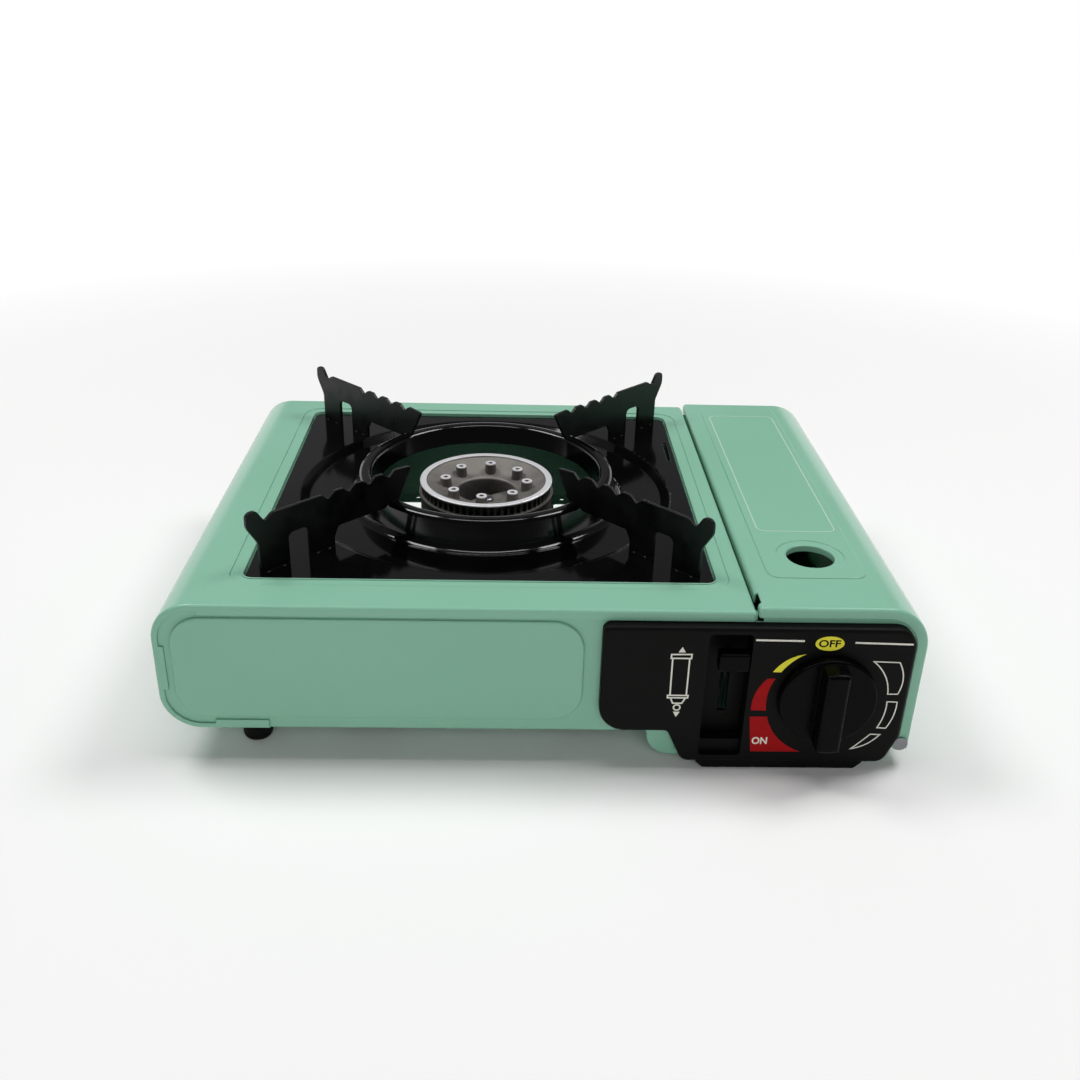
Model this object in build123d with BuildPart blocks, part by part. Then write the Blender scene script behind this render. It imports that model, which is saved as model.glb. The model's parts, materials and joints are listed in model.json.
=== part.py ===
from build123d import *
from math import atan2, cos, radians, sin
import os

# Portable gas stove for one butane cartridge. Millimetres, +Z up, front towards -Y.
# The origin is on the table, under the middle of the box round the whole stove.

# Body sheet metal
sheet = 0.8
body_height = 64.5
floor_z = 16.5
bay_z = 4.0
corner_r = 18.0
bend_r = 2.0
lip = 5.0
corner_lip = 3.0
left_margin = 36.2
seam_margin = 14.2
front_margin = 26.2
rear_margin = 20.3
lid_w = 77.0
seam_gap = 1.0
seam_flange = 5.0
seam_cover = 0.6
seam_cover_l = 2.4
return_length = 48.0
edge_r = 1.5
rim_w = 6.0
rim_depth = 0.4
vent_w = 24.0
vent_d = 20.0
vent_spread = 106.0
vent_inset = 22.0
vent_hole_r = 1.5
vent_hole_inset = 5.2
vent_hole_spread = 93.6
divider_setback = 70.8
divider_foot = 11.0
fit = 0.1
rest_gap = 0.3

# Front panel's raised field
field_left = 8.0
field_gap = 7.6
field_low = 7.1
field_drop = 6.2
field_r = 14.0
field_height = 1.6

# Drip pan and its supports
pan_w = 213.6
pan_d = 211.5
pan_corner_r = 5.0
pan_sheet = 0.8
pan_edge_r = 0.6
recess_depth = 2.4
recess_gap = 0.6
ledge_w = 6.0
dish_r = 98.0
dish_depth = 3.2
dish_step = 5.0
ring_hole_r = 57.0
ring_inner_run = 6.5
ring_outer_run = 7.0
ring_crown_w = 3.0
ring_height = 11.9
ring_inner_drop = 9.8
pan_slot_l = 27.9
pan_slot_w = 1.8
pan_slot_inset = 3.7
pan_slot_back = 53.2
support_sheet = 1.6
support_height = 28.1
support_outer_r = 141.5
support_leg_w = 15.7
support_window_w = 11.3
support_tip_r = 52.0
support_tip_flat = 2.0
support_window_h = 15.3
support_clear = 9.8
support_inner_leg_w = 14.3
support_throat = 2.5
hook_profile = [(5.6, -3.5), (5.4, 3.5), (0.0, 3.5), (-4.2, -3.0), (-8.2, 0.0)]
hook_bends = [5.0, 6.0, 2.8, 2.6, 1.4, 1.5]
notch_depth = 3.0
notch_share = 0.31
notch_root_r = 0.8
notch_crest_r = 1.3
notch_count = 4
weld_gap = 0.05

# Burner
burner_rise = 3.5
burner_r = 35.2
burner_ring_w = 3.4
burner_well_r = 15.5
burner_deck_drop = 6.2
burner_slots = 60
slot_w = 2.3
slot_h = 5.0
groove_h = 3.5
deck_sheet = 2.4
deck_hollow = 3.1
deck_knee_r = 20.0
deck_knee_rise = 0.4
deck_bend_r = 12.0
well_drop = 0.4
well_lip_r = 1.6
ring_step = 1.0
cast_edge = 0.5
skirt_step = 0.8
skirt_wall = 1.6
groove_w = 1.8
flange_w = 0.6
flange_h = 1.0
posts = 8
post_circle_r = 21.8
post_turn = -5.0
post_root_r = 3.35
post_top_r = 2.75
post_hole_r = 1.3
post_hole_l = 4.5
bowl_wall = 2.0
bowl_depth = 23.5
bar_w = 9.0
bar_h = 4.0
bar_drop = 6.8
bar_turn = 35.0
boss_r = 6.0
burner_screw_r = 2.0
burner_screw_head = 2.2
burner_screw_dome = 1.2
burner_screw_tail = 6.0
cross_l = 4.6
cross_w = 1.1
stand_sheet = 1.2
stand_w = 24.0
stand_top_x = 20.0
stand_low_x = 24.0
stand_foot_x = 38.0
electrode_gap = 8.0
electrode_turn = -75.0
electrode_clip_w = 10.0
electrode_clip_root = 6.0
insulator_r = 3.0
insulator_collar = 1.5
insulator_h = 18.0
spark_gap = 2.0
wire_r = 0.8

# Cartridge bay and lid
cartridge_d = 67.0
cradle_lift = 2.2
side_room = 10.3
bay_step = 44.0
bay_corner_r = 11.0
curb_r = 6.0
curb_h = 20.0
lid_rise = 2.0
lid_corner_r = 20.0
lid_hole_r = 11.3
lid_hole_setback = 49.6
lid_hole_edge_r = 0.7
lid_collar_h = 2.5
emboss_h = 0.5
emboss_edge_r = 0.4
emboss_left = 9.0
emboss_right = 22.0
emboss_front = 27.5
emboss_rear = 8.0
emboss_corner_r = 6.0
emboss_dish_r = 16.0
relief_w = 1.4
relief_l = 9.0
relief_setback = 5.0
hinge_inset = 4.2
hinge_z = 12.0
hinge_pin_r = 1.5
lid_skirt = 3.5
lid_angle_room = 6.5
cradle_half_w = 19.0
cradle_setback = 108.8
cradle_rear_gap = 4.0

# Control panel, knob and spindle
panel_w = 138.3
panel_proud = 5.0
panel_wall = 2.2
panel_gap = 0.4
panel_side_gap = 1.7
panel_step_w = 31.5
panel_step_run = 7.5
panel_step_h = 16.5
panel_chamfer_w = 5.8
panel_chamfer_h = 14.5
panel_bends = [4.0, 12.0, 3.0, 5.0, 6.0, 4.0, 10.0]
panel_edge_r = 2.0
ledge_drop = 3.4
ledge_left = 6.5
ledge_right = 9.5
ledge_ramp = 3.5
ledge_setback = 0.6
panel_screw_inset = 12.0
channel_w = 19.2
channel_left = 20.6
channel_depth = 10.0
channel_floor = 1.8
channel_low_rim = 4.0
channel_top_rim = 3.2
sill_h = 7.0
sill_drop = 3.0
knob_r = 22.0
knob_gap = 0.6
knob_skirt = 4.4
knob_reach = 20.0
knob_taper = 4.0
knob_edge_r = 1.0
knob_wall = 4.0
grip_w = 10.5
grip_r = 20.6
grip_edge_r = 2.0
spindle_r = 3.0
run_gap = 0.08
press_gap = 0.05

# Regulator, igniter and gas way
regulator_w = 30.0
regulator_d = 28.8
regulator_setback = 57.8
bracket_sheet = 1.2
bracket_w = 54.0
bracket_foot = 16.0
bracket_rise = 22.0
guide_h = 4.5
cast_r = 4.0
cap_h = 4.0
dome_r = 8.0
dome_h = 8.0
dome_edge_r = 3.0
cap_screw_r = 1.9
gland_r = 6.9
gland_l = 6.0
outlet_boss_l = 6.0
inlet_r = 6.0
inlet_boss_r = 11.0
inlet_boss_l = 5.2
inlet_depth = 10.0
seal_r = 4.5
seal_h = 2.5
pipe_r = 3.0
pipe_wall = 1.0
pipe_setback = 47.0
pipe_drop = 4.5
pipe_bend_r = 7.0
elbow_inset = 13.0
port_drop = 1.0
stub_l = 4.0
jet_run = 12.0
jet_r = 4.2
jet_body_l = 5.0
jet_tip_l = 4.0
tube_bore_r = 7.0
tube_wall = 1.5
bell_r = 11.0
bell_l = 8.0
jet_gap = 3.0
cam_setback = 12.0
cam_w = 6.0
cam_r = 5.5
cam_lift = 3.5
knob_turn = 130.0
cam_gap = 0.35
plunger_r = 2.5
plunger_l = 10.0
igniter_r = 5.5
igniter_l = 25.5
igniter_edge = 0.8
igniter_clip_w = 10.0
igniter_clip_wall = 2.0

# Lock lever and yoke
lever_sheet = 2.0
lever_inset = 10.0
lever_setback = 27.0
lever_rise = 2.0
lever_l = 35.7
lever_swing = 56.0
lever_w = 7.0
lever_hub_r = 5.0
lever_room = 1.0
pivot_r = 2.0
pivot_head_r = 3.5
cheek_gap = 2.4
cheek_r = 4.0
cheek_over = 4.2
drive_r = 8.0
drive_pin_r = 1.75
tab_w = 13.6
tab_h = 9.0
tab_d = 7.0
tab_edge_r = 1.2
tab_shift = 0.8
yoke_sheet = 1.5
yoke_fork_r = 18.5
yoke_foot_w = 18.0
yoke_foot_l = 23.8
yoke_gap = 0.8
yoke_lift = 1.5
yoke_arm_half = 6.0
yoke_prong_w = 5.5
yoke_prong_h = 3.0
yoke_slot_room = 1.1
drive_pin_over = 1.0

# Feet and screws
foot_r = 6.9
left_foot_edge = 3.0
right_foot_edge = 1.0
foot_inset = 18.7
foot_x_inset = 38.0
right_foot_x_inset = 31.0
screw_r = 1.5
screw_head_r = 3.0
screw_head_h = 1.5
screw_tail = 4.0
base_screw_inset = 7.0
base_screw_setback = 50.0

# Places that follow from the sizes above
body_width = left_margin + pan_w + seam_margin + seam_gap + lid_w
body_depth = front_margin + pan_d + rear_margin
half_w = body_width / 2
rivet_reach = sheet + rest_gap
front_y = (knob_reach - rivet_reach - body_depth) / 2
rear_y = front_y + body_depth
panel_front_y = front_y - panel_proud
inner_front_y = front_y + 2 * sheet
inner_rear_y = rear_y - 2 * sheet
top_z = floor_z + body_height
under_top_z = top_z - sheet
lid_z = top_z + lid_rise
lid_under_z = lid_z - sheet
floor_top_z = floor_z + 2 * sheet
bay_top_z = bay_z + sheet
seam_x = half_w - lid_w - seam_gap
lid_x = half_w - lid_w
pan_x = seam_x - seam_margin - pan_w / 2
pan_y = front_y + front_margin + pan_d / 2
ledge_z = top_z - recess_depth
pan_under_z = ledge_z + rest_gap
pan_z = pan_under_z + pan_sheet
axis_x = half_w - side_room - cartridge_d / 2
axis_z = bay_top_z + cradle_lift + cartridge_d / 2
bay_x = seam_x - bay_step
hinge_x = half_w - hinge_inset
curb_x = hinge_x - lid_angle_room
burner_z = top_z + burner_rise
deck_z = burner_z - burner_deck_drop
bowl_r = burner_r - rest_gap
bowl_z = deck_z - bowl_depth
bracket_y = front_y + regulator_setback
regulator_y = bracket_y - regulator_d
lever_x = seam_x - lever_inset
pivot_y = front_y + lever_setback
pivot_z = axis_z + lever_rise


def face_at(y):
    """Upright plane at depth y, with X across and Z up. A negative extrude goes to the rear."""
    return Plane.XZ.offset(-y)


def bent_sheet(points, bends, thickness, side):
    """Section of a bent sheet: a run with rounded bends, thickened to one side."""
    with BuildSketch() as section:
        with BuildLine():
            FilletPolyline(*points, radius=bends)
            offset(amount=thickness, side=side)
        make_face()
    return section.sketch


def outline(points, bends):
    """Closed outline with a radius at each corner."""
    with BuildSketch() as shape:
        with BuildLine():
            FilletPolyline(*points, radius=bends, close=True)
        make_face()
    return shape.sketch


def rounded_block(points, bends):
    """Block of the body's depth, its front and rear edges rounded."""
    with BuildPart() as block:
        with BuildSketch(face_at(front_y)):
            add(outline(points, bends))
        extrude(amount=-body_depth)
        ends = block.faces().sort_by(Axis.Y)
        fillet(ends[0].edges() + ends[-1].edges(), edge_r)
    return block.part


# Wrap shell: seam flange, top plate, left wall and bottom return in one sheet
return_x = return_length - half_w
shell_run = [
    (seam_x, top_z - seam_flange),
    (seam_x, top_z),
    (-half_w, top_z),
    (-half_w, floor_z),
    (return_x, floor_z),
]
shell_bends = [bend_r, corner_r, corner_r]
shell_corners = shell_run[1:4] + [(seam_x, floor_z)]
base_screw_x = return_x - base_screw_inset
base_screw_spots = [
    (base_screw_x, front_y + base_screw_setback),
    (base_screw_x, rear_y - base_screw_setback),
]
recess_w = pan_w + 2 * recess_gap
recess_d = pan_d + 2 * recess_gap
pan_slot_spot = (pan_x + pan_w / 2 - pan_slot_inset, pan_y + pan_slot_back)
lip_top_l = seam_x + half_w - corner_r - corner_lip
lip_side_l = body_height - 2 * corner_r - 2 * corner_lip
lip_low_l = return_length - corner_r - 2 * corner_lip

with BuildPart() as top_shell:
    with BuildSketch(face_at(front_y)):
        add(bent_sheet(shell_run, shell_bends, sheet, Side.LEFT))
    extrude(amount=-body_depth)
    for lip_y in (front_y, rear_y - sheet):
        with BuildSketch(face_at(lip_y)):
            add(bent_sheet(shell_run[1:], corner_r, corner_lip, Side.LEFT))
            with Locations((seam_x, top_z)):
                Rectangle(lip_top_l, lip, align=(Align.MAX, Align.MAX))
            with Locations((-half_w, (top_z + floor_z) / 2)):
                Rectangle(lip, lip_side_l, align=(Align.MIN, Align.CENTER))
            with Locations((return_x, floor_z)):
                Rectangle(lip_low_l, lip, align=(Align.MAX, Align.MIN))
        extrude(amount=-sheet)
    add(rounded_block(shell_corners, shell_bends + [bend_r]), mode=Mode.INTERSECT)
    with BuildSketch(face_at(front_y + edge_r)):
        with Locations((seam_x - sheet, top_z - edge_r)):
            Rectangle(sheet + seam_cover, seam_flange - edge_r, align=(Align.MIN, Align.MAX))
    extrude(amount=-seam_cover_l)
    for rim_z, mode in ((under_top_z, Mode.ADD), (top_z, Mode.SUBTRACT)):
        with BuildSketch(Plane.XY.offset(rim_z)):
            with Locations((pan_x, pan_y)):
                RectangleRounded(recess_w + 2 * rim_w, recess_d + 2 * rim_w, pan_corner_r + rim_w)
        extrude(amount=-rim_depth, mode=mode)
    with BuildSketch(Plane.XY.offset(ledge_z - sheet)):
        with Locations((pan_x, pan_y)):
            RectangleRounded(recess_w + 2 * sheet, recess_d + 2 * sheet, pan_corner_r + sheet)
    extrude(amount=recess_depth + sheet)
    with BuildSketch(Plane.XY.offset(ledge_z)):
        with Locations((pan_x, pan_y)):
            RectangleRounded(recess_w, recess_d, pan_corner_r)
    extrude(amount=recess_depth, mode=Mode.SUBTRACT)
    with BuildSketch(Plane.XY.offset(ledge_z - sheet)):
        with Locations((pan_x, pan_y)):
            RectangleRounded(recess_w - 2 * ledge_w, recess_d - 2 * ledge_w, pan_corner_r)
        with Locations(pan_slot_spot):
            SlotOverall(pan_slot_l + pan_slot_w, 2 * pan_slot_w, rotation=90)
    extrude(amount=sheet, mode=Mode.SUBTRACT)
    with BuildSketch(Plane.XY.offset(floor_z)):
        with Locations(base_screw_spots):
            Circle(screw_r + fit)
    extrude(amount=sheet, mode=Mode.SUBTRACT)

# Control panel's outline, shared with the openings behind it
panel_x = half_w - lip - panel_side_gap - panel_w
panel_right_x = panel_x + panel_w
panel_top_z = top_z - lip - panel_gap
panel_step_z = bay_z + panel_step_h
panel_points = [
    (panel_x, panel_top_z),
    (panel_x, panel_step_z),
    (panel_x + panel_step_w, panel_step_z),
    (panel_x + panel_step_w + panel_step_run, bay_z),
    (panel_right_x - panel_chamfer_w, bay_z),
    (panel_right_x, bay_z + panel_chamfer_h),
    (panel_right_x, panel_top_z),
]
lever_slot_w = lever_sheet + 2 * lever_room
channel_x = seam_x - channel_left
channel_low_z = bay_z + channel_low_rim
channel_top_z = panel_top_z - channel_top_rim
channel_h = channel_top_z - channel_low_z
channel_mid = (channel_x + channel_w / 2, (channel_low_z + channel_top_z) / 2)
channel_back_y = panel_front_y + channel_depth
channel_out_w = channel_w + 2 * channel_floor
channel_out_h = channel_h + 2 * channel_floor
panel_screw_left_x = panel_x + panel_screw_inset
panel_screw_right_x = panel_right_x - panel_screw_inset
panel_screw_spots = [
    (panel_screw_left_x, panel_top_z - panel_screw_inset),
    (panel_screw_left_x, panel_step_z + panel_screw_inset),
    (panel_screw_right_x, panel_top_z - panel_screw_inset),
    (panel_screw_right_x, bay_z + panel_screw_inset),
]


def end_panel_outline():
    """Outline of both end panels: inside the shell on the left, inside the lid on the right."""
    left_x = sheet + fit - half_w
    low_z = floor_z + sheet
    right_x = half_w - sheet - rest_gap
    lid_side_z = lid_under_z - rest_gap
    cut_z = top_z - seam_flange - rest_gap
    cut_left_x = seam_x - bend_r - rest_gap
    cut_right_x = lid_x + bend_r + rest_gap
    shell_bend = corner_r - sheet
    lid_bend = lid_corner_r - sheet - rest_gap
    points = [
        (left_x, low_z),
        (bay_x, low_z),
        (bay_x, bay_z),
        (curb_x, bay_z),
        (curb_x, hinge_z),
        (right_x, hinge_z),
        (right_x, lid_side_z),
        (cut_right_x, lid_side_z),
        (cut_right_x, cut_z),
        (cut_left_x, cut_z),
        (cut_left_x, under_top_z),
        (left_x, under_top_z),
    ]
    bends = [shell_bend, bend_r, bay_corner_r, curb_r, 0, 0, lid_bend, 0, 0, 0, 0, shell_bend]
    with BuildSketch() as panel:
        add(outline(points, bends))
        with Locations((hinge_x, hinge_z)):
            Circle(hinge_inset - sheet - rest_gap)
    return panel.sketch


def raised_field(inset):
    """Rounded field of the end panels, drawn in by the inset."""
    low_z = floor_z + field_low + inset
    high_z = top_z - field_drop - inset
    field_points = [
        (field_left - half_w + inset, low_z),
        (panel_x - field_gap - inset, low_z),
        (panel_x - field_gap - inset, high_z),
        (field_left - half_w + inset, high_z),
    ]
    return outline(field_points, field_r - inset)


# Front panel, with the raised field and the openings behind the control panel
with BuildPart() as front_panel:
    with BuildSketch(face_at(front_y + sheet)):
        add(end_panel_outline())
    extrude(amount=-sheet)
    with BuildSketch(face_at(front_y + sheet)):
        add(raised_field(0))
    extrude(amount=field_height)
    fillet(front_panel.faces().sort_by(Axis.Y)[0].edges(), sheet)
    with BuildSketch(face_at(inner_front_y)):
        add(raised_field(sheet))
    extrude(amount=field_height, mode=Mode.SUBTRACT)
    with BuildSketch(face_at(inner_front_y)):
        with Locations((axis_x, axis_z)):
            Circle(2 * spindle_r)
        with Locations(channel_mid):
            Rectangle(channel_out_w + 2 * fit, channel_out_h + 2 * fit)
        with Locations(panel_screw_spots):
            Circle(screw_r + fit)
    extrude(amount=sheet, mode=Mode.SUBTRACT)

# Rear panel
with BuildPart() as rear_panel:
    with BuildSketch(face_at(inner_rear_y)):
        add(end_panel_outline())
    extrude(amount=-sheet)
    with BuildSketch(face_at(rear_y - sheet)):
        add(raised_field(0))
    extrude(amount=-(sheet - fit))
    with BuildSketch(face_at(inner_rear_y)):
        add(raised_field(sheet))
    extrude(amount=-(sheet - fit), mode=Mode.SUBTRACT)

# Floor sheet, stepping down into the cartridge bay, with air vents under the burner
floor_run = [
    (corner_r - half_w, floor_z + sheet),
    (bay_x, floor_z + sheet),
    (bay_x, bay_z),
    (curb_x, bay_z),
    (curb_x, bay_z + curb_h),
]
with BuildPart() as base_floor:
    with BuildSketch(face_at(inner_front_y)):
        add(bent_sheet(floor_run, [bend_r, bay_corner_r, curb_r], sheet, Side.LEFT))
    extrude(amount=-(inner_rear_y - inner_front_y))
    with BuildSketch(Plane.XY.offset(floor_z + sheet)):
        for wall_y, way in ((inner_front_y, 1), (inner_rear_y, -1)):
            with Locations((pan_x, wall_y + way * vent_inset)):
                with GridLocations(vent_spread, 1, 2, 1):
                    RectangleRounded(vent_w, vent_d, bend_r)
            with Locations((pan_x, wall_y + way * vent_hole_inset)):
                with GridLocations(vent_hole_spread, 1, 2, 1):
                    Circle(vent_hole_r)
        with Locations(base_screw_spots):
            Circle(screw_r + fit)
    extrude(amount=sheet, mode=Mode.SUBTRACT)

# Heat wall between the burner and the cartridge
divider_x = axis_x - cartridge_d / 2 - cradle_lift
divider_y = front_y + divider_setback
divider_run = [
    (divider_x - divider_foot, bay_top_z),
    (divider_x, bay_top_z),
    (divider_x, top_z - bend_r - rest_gap),
]
with BuildPart() as divider_wall:
    with BuildSketch(face_at(divider_y)):
        add(bent_sheet(divider_run, bend_r, sheet, Side.LEFT))
    extrude(amount=-(inner_rear_y - divider_y))

# Cartridge lid with its lips and hinge ears
lid_run = [
    (lid_x, lid_z - seam_flange),
    (lid_x, lid_z),
    (half_w, lid_z),
    (half_w, hinge_z - lid_skirt),
]
lid_bends = [bend_r, lid_corner_r]
lid_low_z = hinge_z - 2 * hinge_inset
lid_corners = lid_run[1:3] + [(half_w, lid_low_z), (lid_x, lid_low_z)]
lid_lip_run = [(lid_x, lid_z), (half_w, lid_z), (half_w, hinge_z)]
emboss_w = lid_w - emboss_left - emboss_right
emboss_d = body_depth - emboss_front - emboss_rear
emboss_mid = (lid_x + emboss_left + emboss_w / 2, front_y + emboss_front + emboss_d / 2)
lid_hole = (axis_x, front_y + lid_hole_setback)
with BuildPart() as cartridge_lid:
    with BuildSketch(face_at(front_y)):
        add(bent_sheet(lid_run, lid_bends, sheet, Side.RIGHT))
    extrude(amount=-body_depth)
    for ear_y in (front_y, rear_y - sheet):
        with BuildSketch(face_at(ear_y)):
            add(bent_sheet(lid_lip_run, lid_corner_r, lip, Side.RIGHT))
            with Locations((hinge_x, hinge_z)):
                Circle(hinge_inset)
                Circle(hinge_pin_r + run_gap, mode=Mode.SUBTRACT)
        extrude(amount=-sheet)
    add(rounded_block(lid_corners, lid_bends + [bend_r, bend_r]), mode=Mode.INTERSECT)
    with BuildSketch(Plane.XY.offset(lid_z)):
        with Locations(emboss_mid):
            RectangleRounded(emboss_w, emboss_d, emboss_corner_r)
        with Locations(lid_hole):
            Circle(emboss_dish_r, mode=Mode.SUBTRACT)
    extrude(amount=emboss_h)
    fillet(cartridge_lid.faces().sort_by(Axis.Z)[-1].edges(), emboss_edge_r)
    with BuildSketch(Plane.XY.offset(lid_under_z)):
        with Locations(emboss_mid):
            RectangleRounded(emboss_w - 2 * sheet, emboss_d - 2 * sheet, emboss_corner_r - sheet)
        with Locations(lid_hole):
            Circle(emboss_dish_r + sheet, mode=Mode.SUBTRACT)
    extrude(amount=emboss_h, mode=Mode.SUBTRACT)
    with BuildSketch(Plane.XY.offset(lid_under_z)):
        with Locations(lid_hole):
            Circle(lid_hole_r + sheet)
    extrude(amount=-lid_collar_h)
    with BuildSketch(Plane.XY.offset(lid_z)):
        with Locations(lid_hole):
            Circle(lid_hole_r)
    extrude(amount=-(sheet + lid_collar_h), mode=Mode.SUBTRACT)
    hole_edges = cartridge_lid.edges().filter_by(GeomType.CIRCLE)
    fillet(
        [edge for edge in hole_edges if edge.radius == lid_hole_r and (edge @ 0.5).Z == lid_z],
        lid_hole_edge_r,
    )
    with BuildSketch(Plane.XY.offset(lid_z)):
        with Locations((lid_x, front_y + relief_setback)):
            Rectangle(relief_w, relief_l, align=Align.MIN)
    extrude(amount=-seam_flange, mode=Mode.SUBTRACT)

# Hinge rivets, one through each ear, standing on the end panels
with BuildPart() as lid_hinge_pins:
    for root_y, way in ((front_y + sheet, 1), (rear_y - sheet, -1)):
        with BuildSketch(face_at(root_y)):
            with Locations((hinge_x, hinge_z)):
                Circle(hinge_pin_r)
        extrude(amount=way * rivet_reach)
        with BuildSketch(face_at(root_y - way * rivet_reach)):
            with Locations((hinge_x, hinge_z)):
                Circle(hinge_inset - sheet)
        extrude(amount=way * sheet)

# Drip pan: flat frame, dish, raised ring round the burner opening
ring_top_z = pan_z + ring_height
dish_z = pan_z - dish_depth
ring_crown_r = ring_hole_r + ring_inner_run
ring_foot_r = ring_crown_r + ring_outer_run
dish_foot_r = dish_r - dish_step
frame_hole_r = dish_r + dish_step
pan_axis = Axis((pan_x, pan_y, 0), (0, 0, 1))
pan_section = Plane((pan_x, pan_y, 0), x_dir=(1, 0, 0), z_dir=(0, -1, 0))
pan_profile = [
    (ring_hole_r, ring_top_z - ring_inner_drop),
    (ring_crown_r - ring_crown_w, ring_top_z),
    (ring_crown_r + ring_crown_w, ring_top_z),
    (ring_foot_r, dish_z),
    (dish_foot_r, dish_z),
    (dish_r, pan_z),
    (frame_hole_r, pan_z),
]
pan_bends = [2.6, 2.6, 4.0, 2.0, 2.0]
with BuildPart() as drip_pan:
    with BuildSketch(Plane.XY.offset(pan_under_z)):
        with Locations((pan_x, pan_y)):
            RectangleRounded(pan_w, pan_d, pan_corner_r - recess_gap)
            Circle(frame_hole_r, mode=Mode.SUBTRACT)
        with Locations(pan_slot_spot):
            SlotOverall(pan_slot_l, pan_slot_w, rotation=90, mode=Mode.SUBTRACT)
    extrude(amount=pan_sheet)
    fillet(drip_pan.faces().sort_by(Axis.Z)[-1].outer_wire().edges(), pan_edge_r)
    with BuildSketch(pan_section):
        add(bent_sheet(pan_profile, pan_bends, pan_sheet, Side.RIGHT))
    revolve(axis=pan_axis)

# Pan supports: notched plates on the diagonals, standing on the pan's frame
crest_z = pan_z + support_height
window_z = pan_z + support_window_h
under_z = pan_z + support_clear
window_in_r = support_outer_r - support_leg_w - support_window_w
window_out_r = support_outer_r - support_leg_w
leg_r = window_in_r - support_inner_leg_w
notch_pitch = (window_in_r - support_tip_r - support_tip_flat) / (notch_count + 1)
first_notch_r = window_in_r - notch_pitch
notch_half = notch_share * notch_pitch
tip_z = ring_top_z + weld_gap


def support_outline():
    """Side view of one support: hook, flat rest, notches, tip, two legs and the window."""
    points = [(support_outer_r, pan_z), (support_outer_r, window_z)]
    points += [(support_outer_r + out, crest_z + rise) for out, rise in hook_profile]
    bends = [0, *hook_bends]
    for notch in range(notch_count):
        notch_r = first_notch_r - notch * notch_pitch
        points += [
            (notch_r + notch_half, crest_z),
            (notch_r, crest_z - notch_depth),
            (notch_r - notch_half, crest_z),
        ]
        bends += [notch_crest_r, notch_root_r, notch_crest_r]
    points += [
        (support_tip_r, crest_z - support_sheet / 2),
        (ring_crown_r - ring_crown_w, tip_z),
        (ring_crown_r + ring_crown_w, tip_z),
        (ring_crown_r + ring_crown_w + support_throat, under_z),
        (leg_r - support_throat, under_z),
        (leg_r, under_z - 2 * support_throat),
        (leg_r, pan_z),
        (window_in_r, pan_z),
        (window_in_r, window_z),
        (window_out_r, window_z),
        (window_out_r, pan_z),
    ]
    bends += [0.8, 0, 0, 0.8, 2.0, 2.0, 0, 0, 3.0, 3.0, 0]
    return outline(points, bends)


def pan_support(angle):
    """One support plate, standing along the given bearing from the pan's middle."""
    along = (cos(radians(angle)), sin(radians(angle)), 0)
    across = (sin(radians(angle)), -cos(radians(angle)), 0)
    with BuildPart() as support:
        with BuildSketch(Plane((pan_x, pan_y, 0), x_dir=along, z_dir=across)):
            add(support_outline())
        extrude(amount=support_sheet / 2, both=True)
    return support


support_names = ["rear_right", "rear_left", "front_left", "front_right"]
pan_supports = {
    "pan_support_" + name: pan_support(45 + 90 * turn) for turn, name in enumerate(support_names)
}

# Burner head: skimmed ring with flame slots, cast deck falling to the well, eight posts
head_z = deck_z - deck_sheet
flange_z = deck_z - flange_h
slot_top_z = deck_z + slot_h
groove_top_z = deck_z + groove_h
skirt_r = burner_r - skirt_step
ring_in_r = burner_r - burner_ring_w
groove_out_r = skirt_r - skirt_wall
groove_in_r = groove_out_r - groove_w
flange_r = burner_r + flange_w
head_profile = [
    (burner_well_r, head_z),
    (burner_well_r + bowl_wall, head_z),
    (groove_in_r, head_z + deck_hollow),
    (groove_in_r, groove_top_z),
    (groove_out_r, groove_top_z),
    (groove_out_r, head_z),
    (bowl_r, head_z),
    (bowl_r, flange_z),
    (flange_r, flange_z),
    (flange_r, deck_z),
    (skirt_r, deck_z),
    (skirt_r, slot_top_z),
    (burner_r, slot_top_z),
    (burner_r, burner_z),
    (ring_in_r, burner_z),
    (ring_in_r, burner_z - ring_step),
    (deck_knee_r, deck_z + deck_knee_rise),
    (burner_well_r, deck_z - well_drop),
]
head_bends = 13 * [0] + [cast_edge, cast_edge / 2, cast_edge, deck_bend_r, well_lip_r]
post_h = burner_z - deck_z - fit
with BuildPart() as burner_head:
    with BuildSketch(pan_section):
        add(outline(head_profile, head_bends))
    revolve(axis=pan_axis)
    with Locations((pan_x, pan_y, deck_z)):
        with PolarLocations(burner_r, burner_slots):
            Box(
                2 * (burner_r - groove_out_r) + press_gap,
                slot_w,
                slot_h,
                align=(Align.CENTER, Align.CENTER, Align.MIN),
                mode=Mode.SUBTRACT,
            )
        with PolarLocations(post_circle_r, posts, start_angle=post_turn):
            Cone(post_root_r, post_top_r, post_h, align=(Align.CENTER, Align.CENTER, Align.MIN))
    with Locations((pan_x, pan_y, deck_z + post_h)):
        with PolarLocations(post_circle_r, posts, start_angle=post_turn):
            Cylinder(
                post_hole_r,
                post_hole_l,
                align=(Align.CENTER, Align.CENTER, Align.MAX),
                mode=Mode.SUBTRACT,
            )

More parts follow.
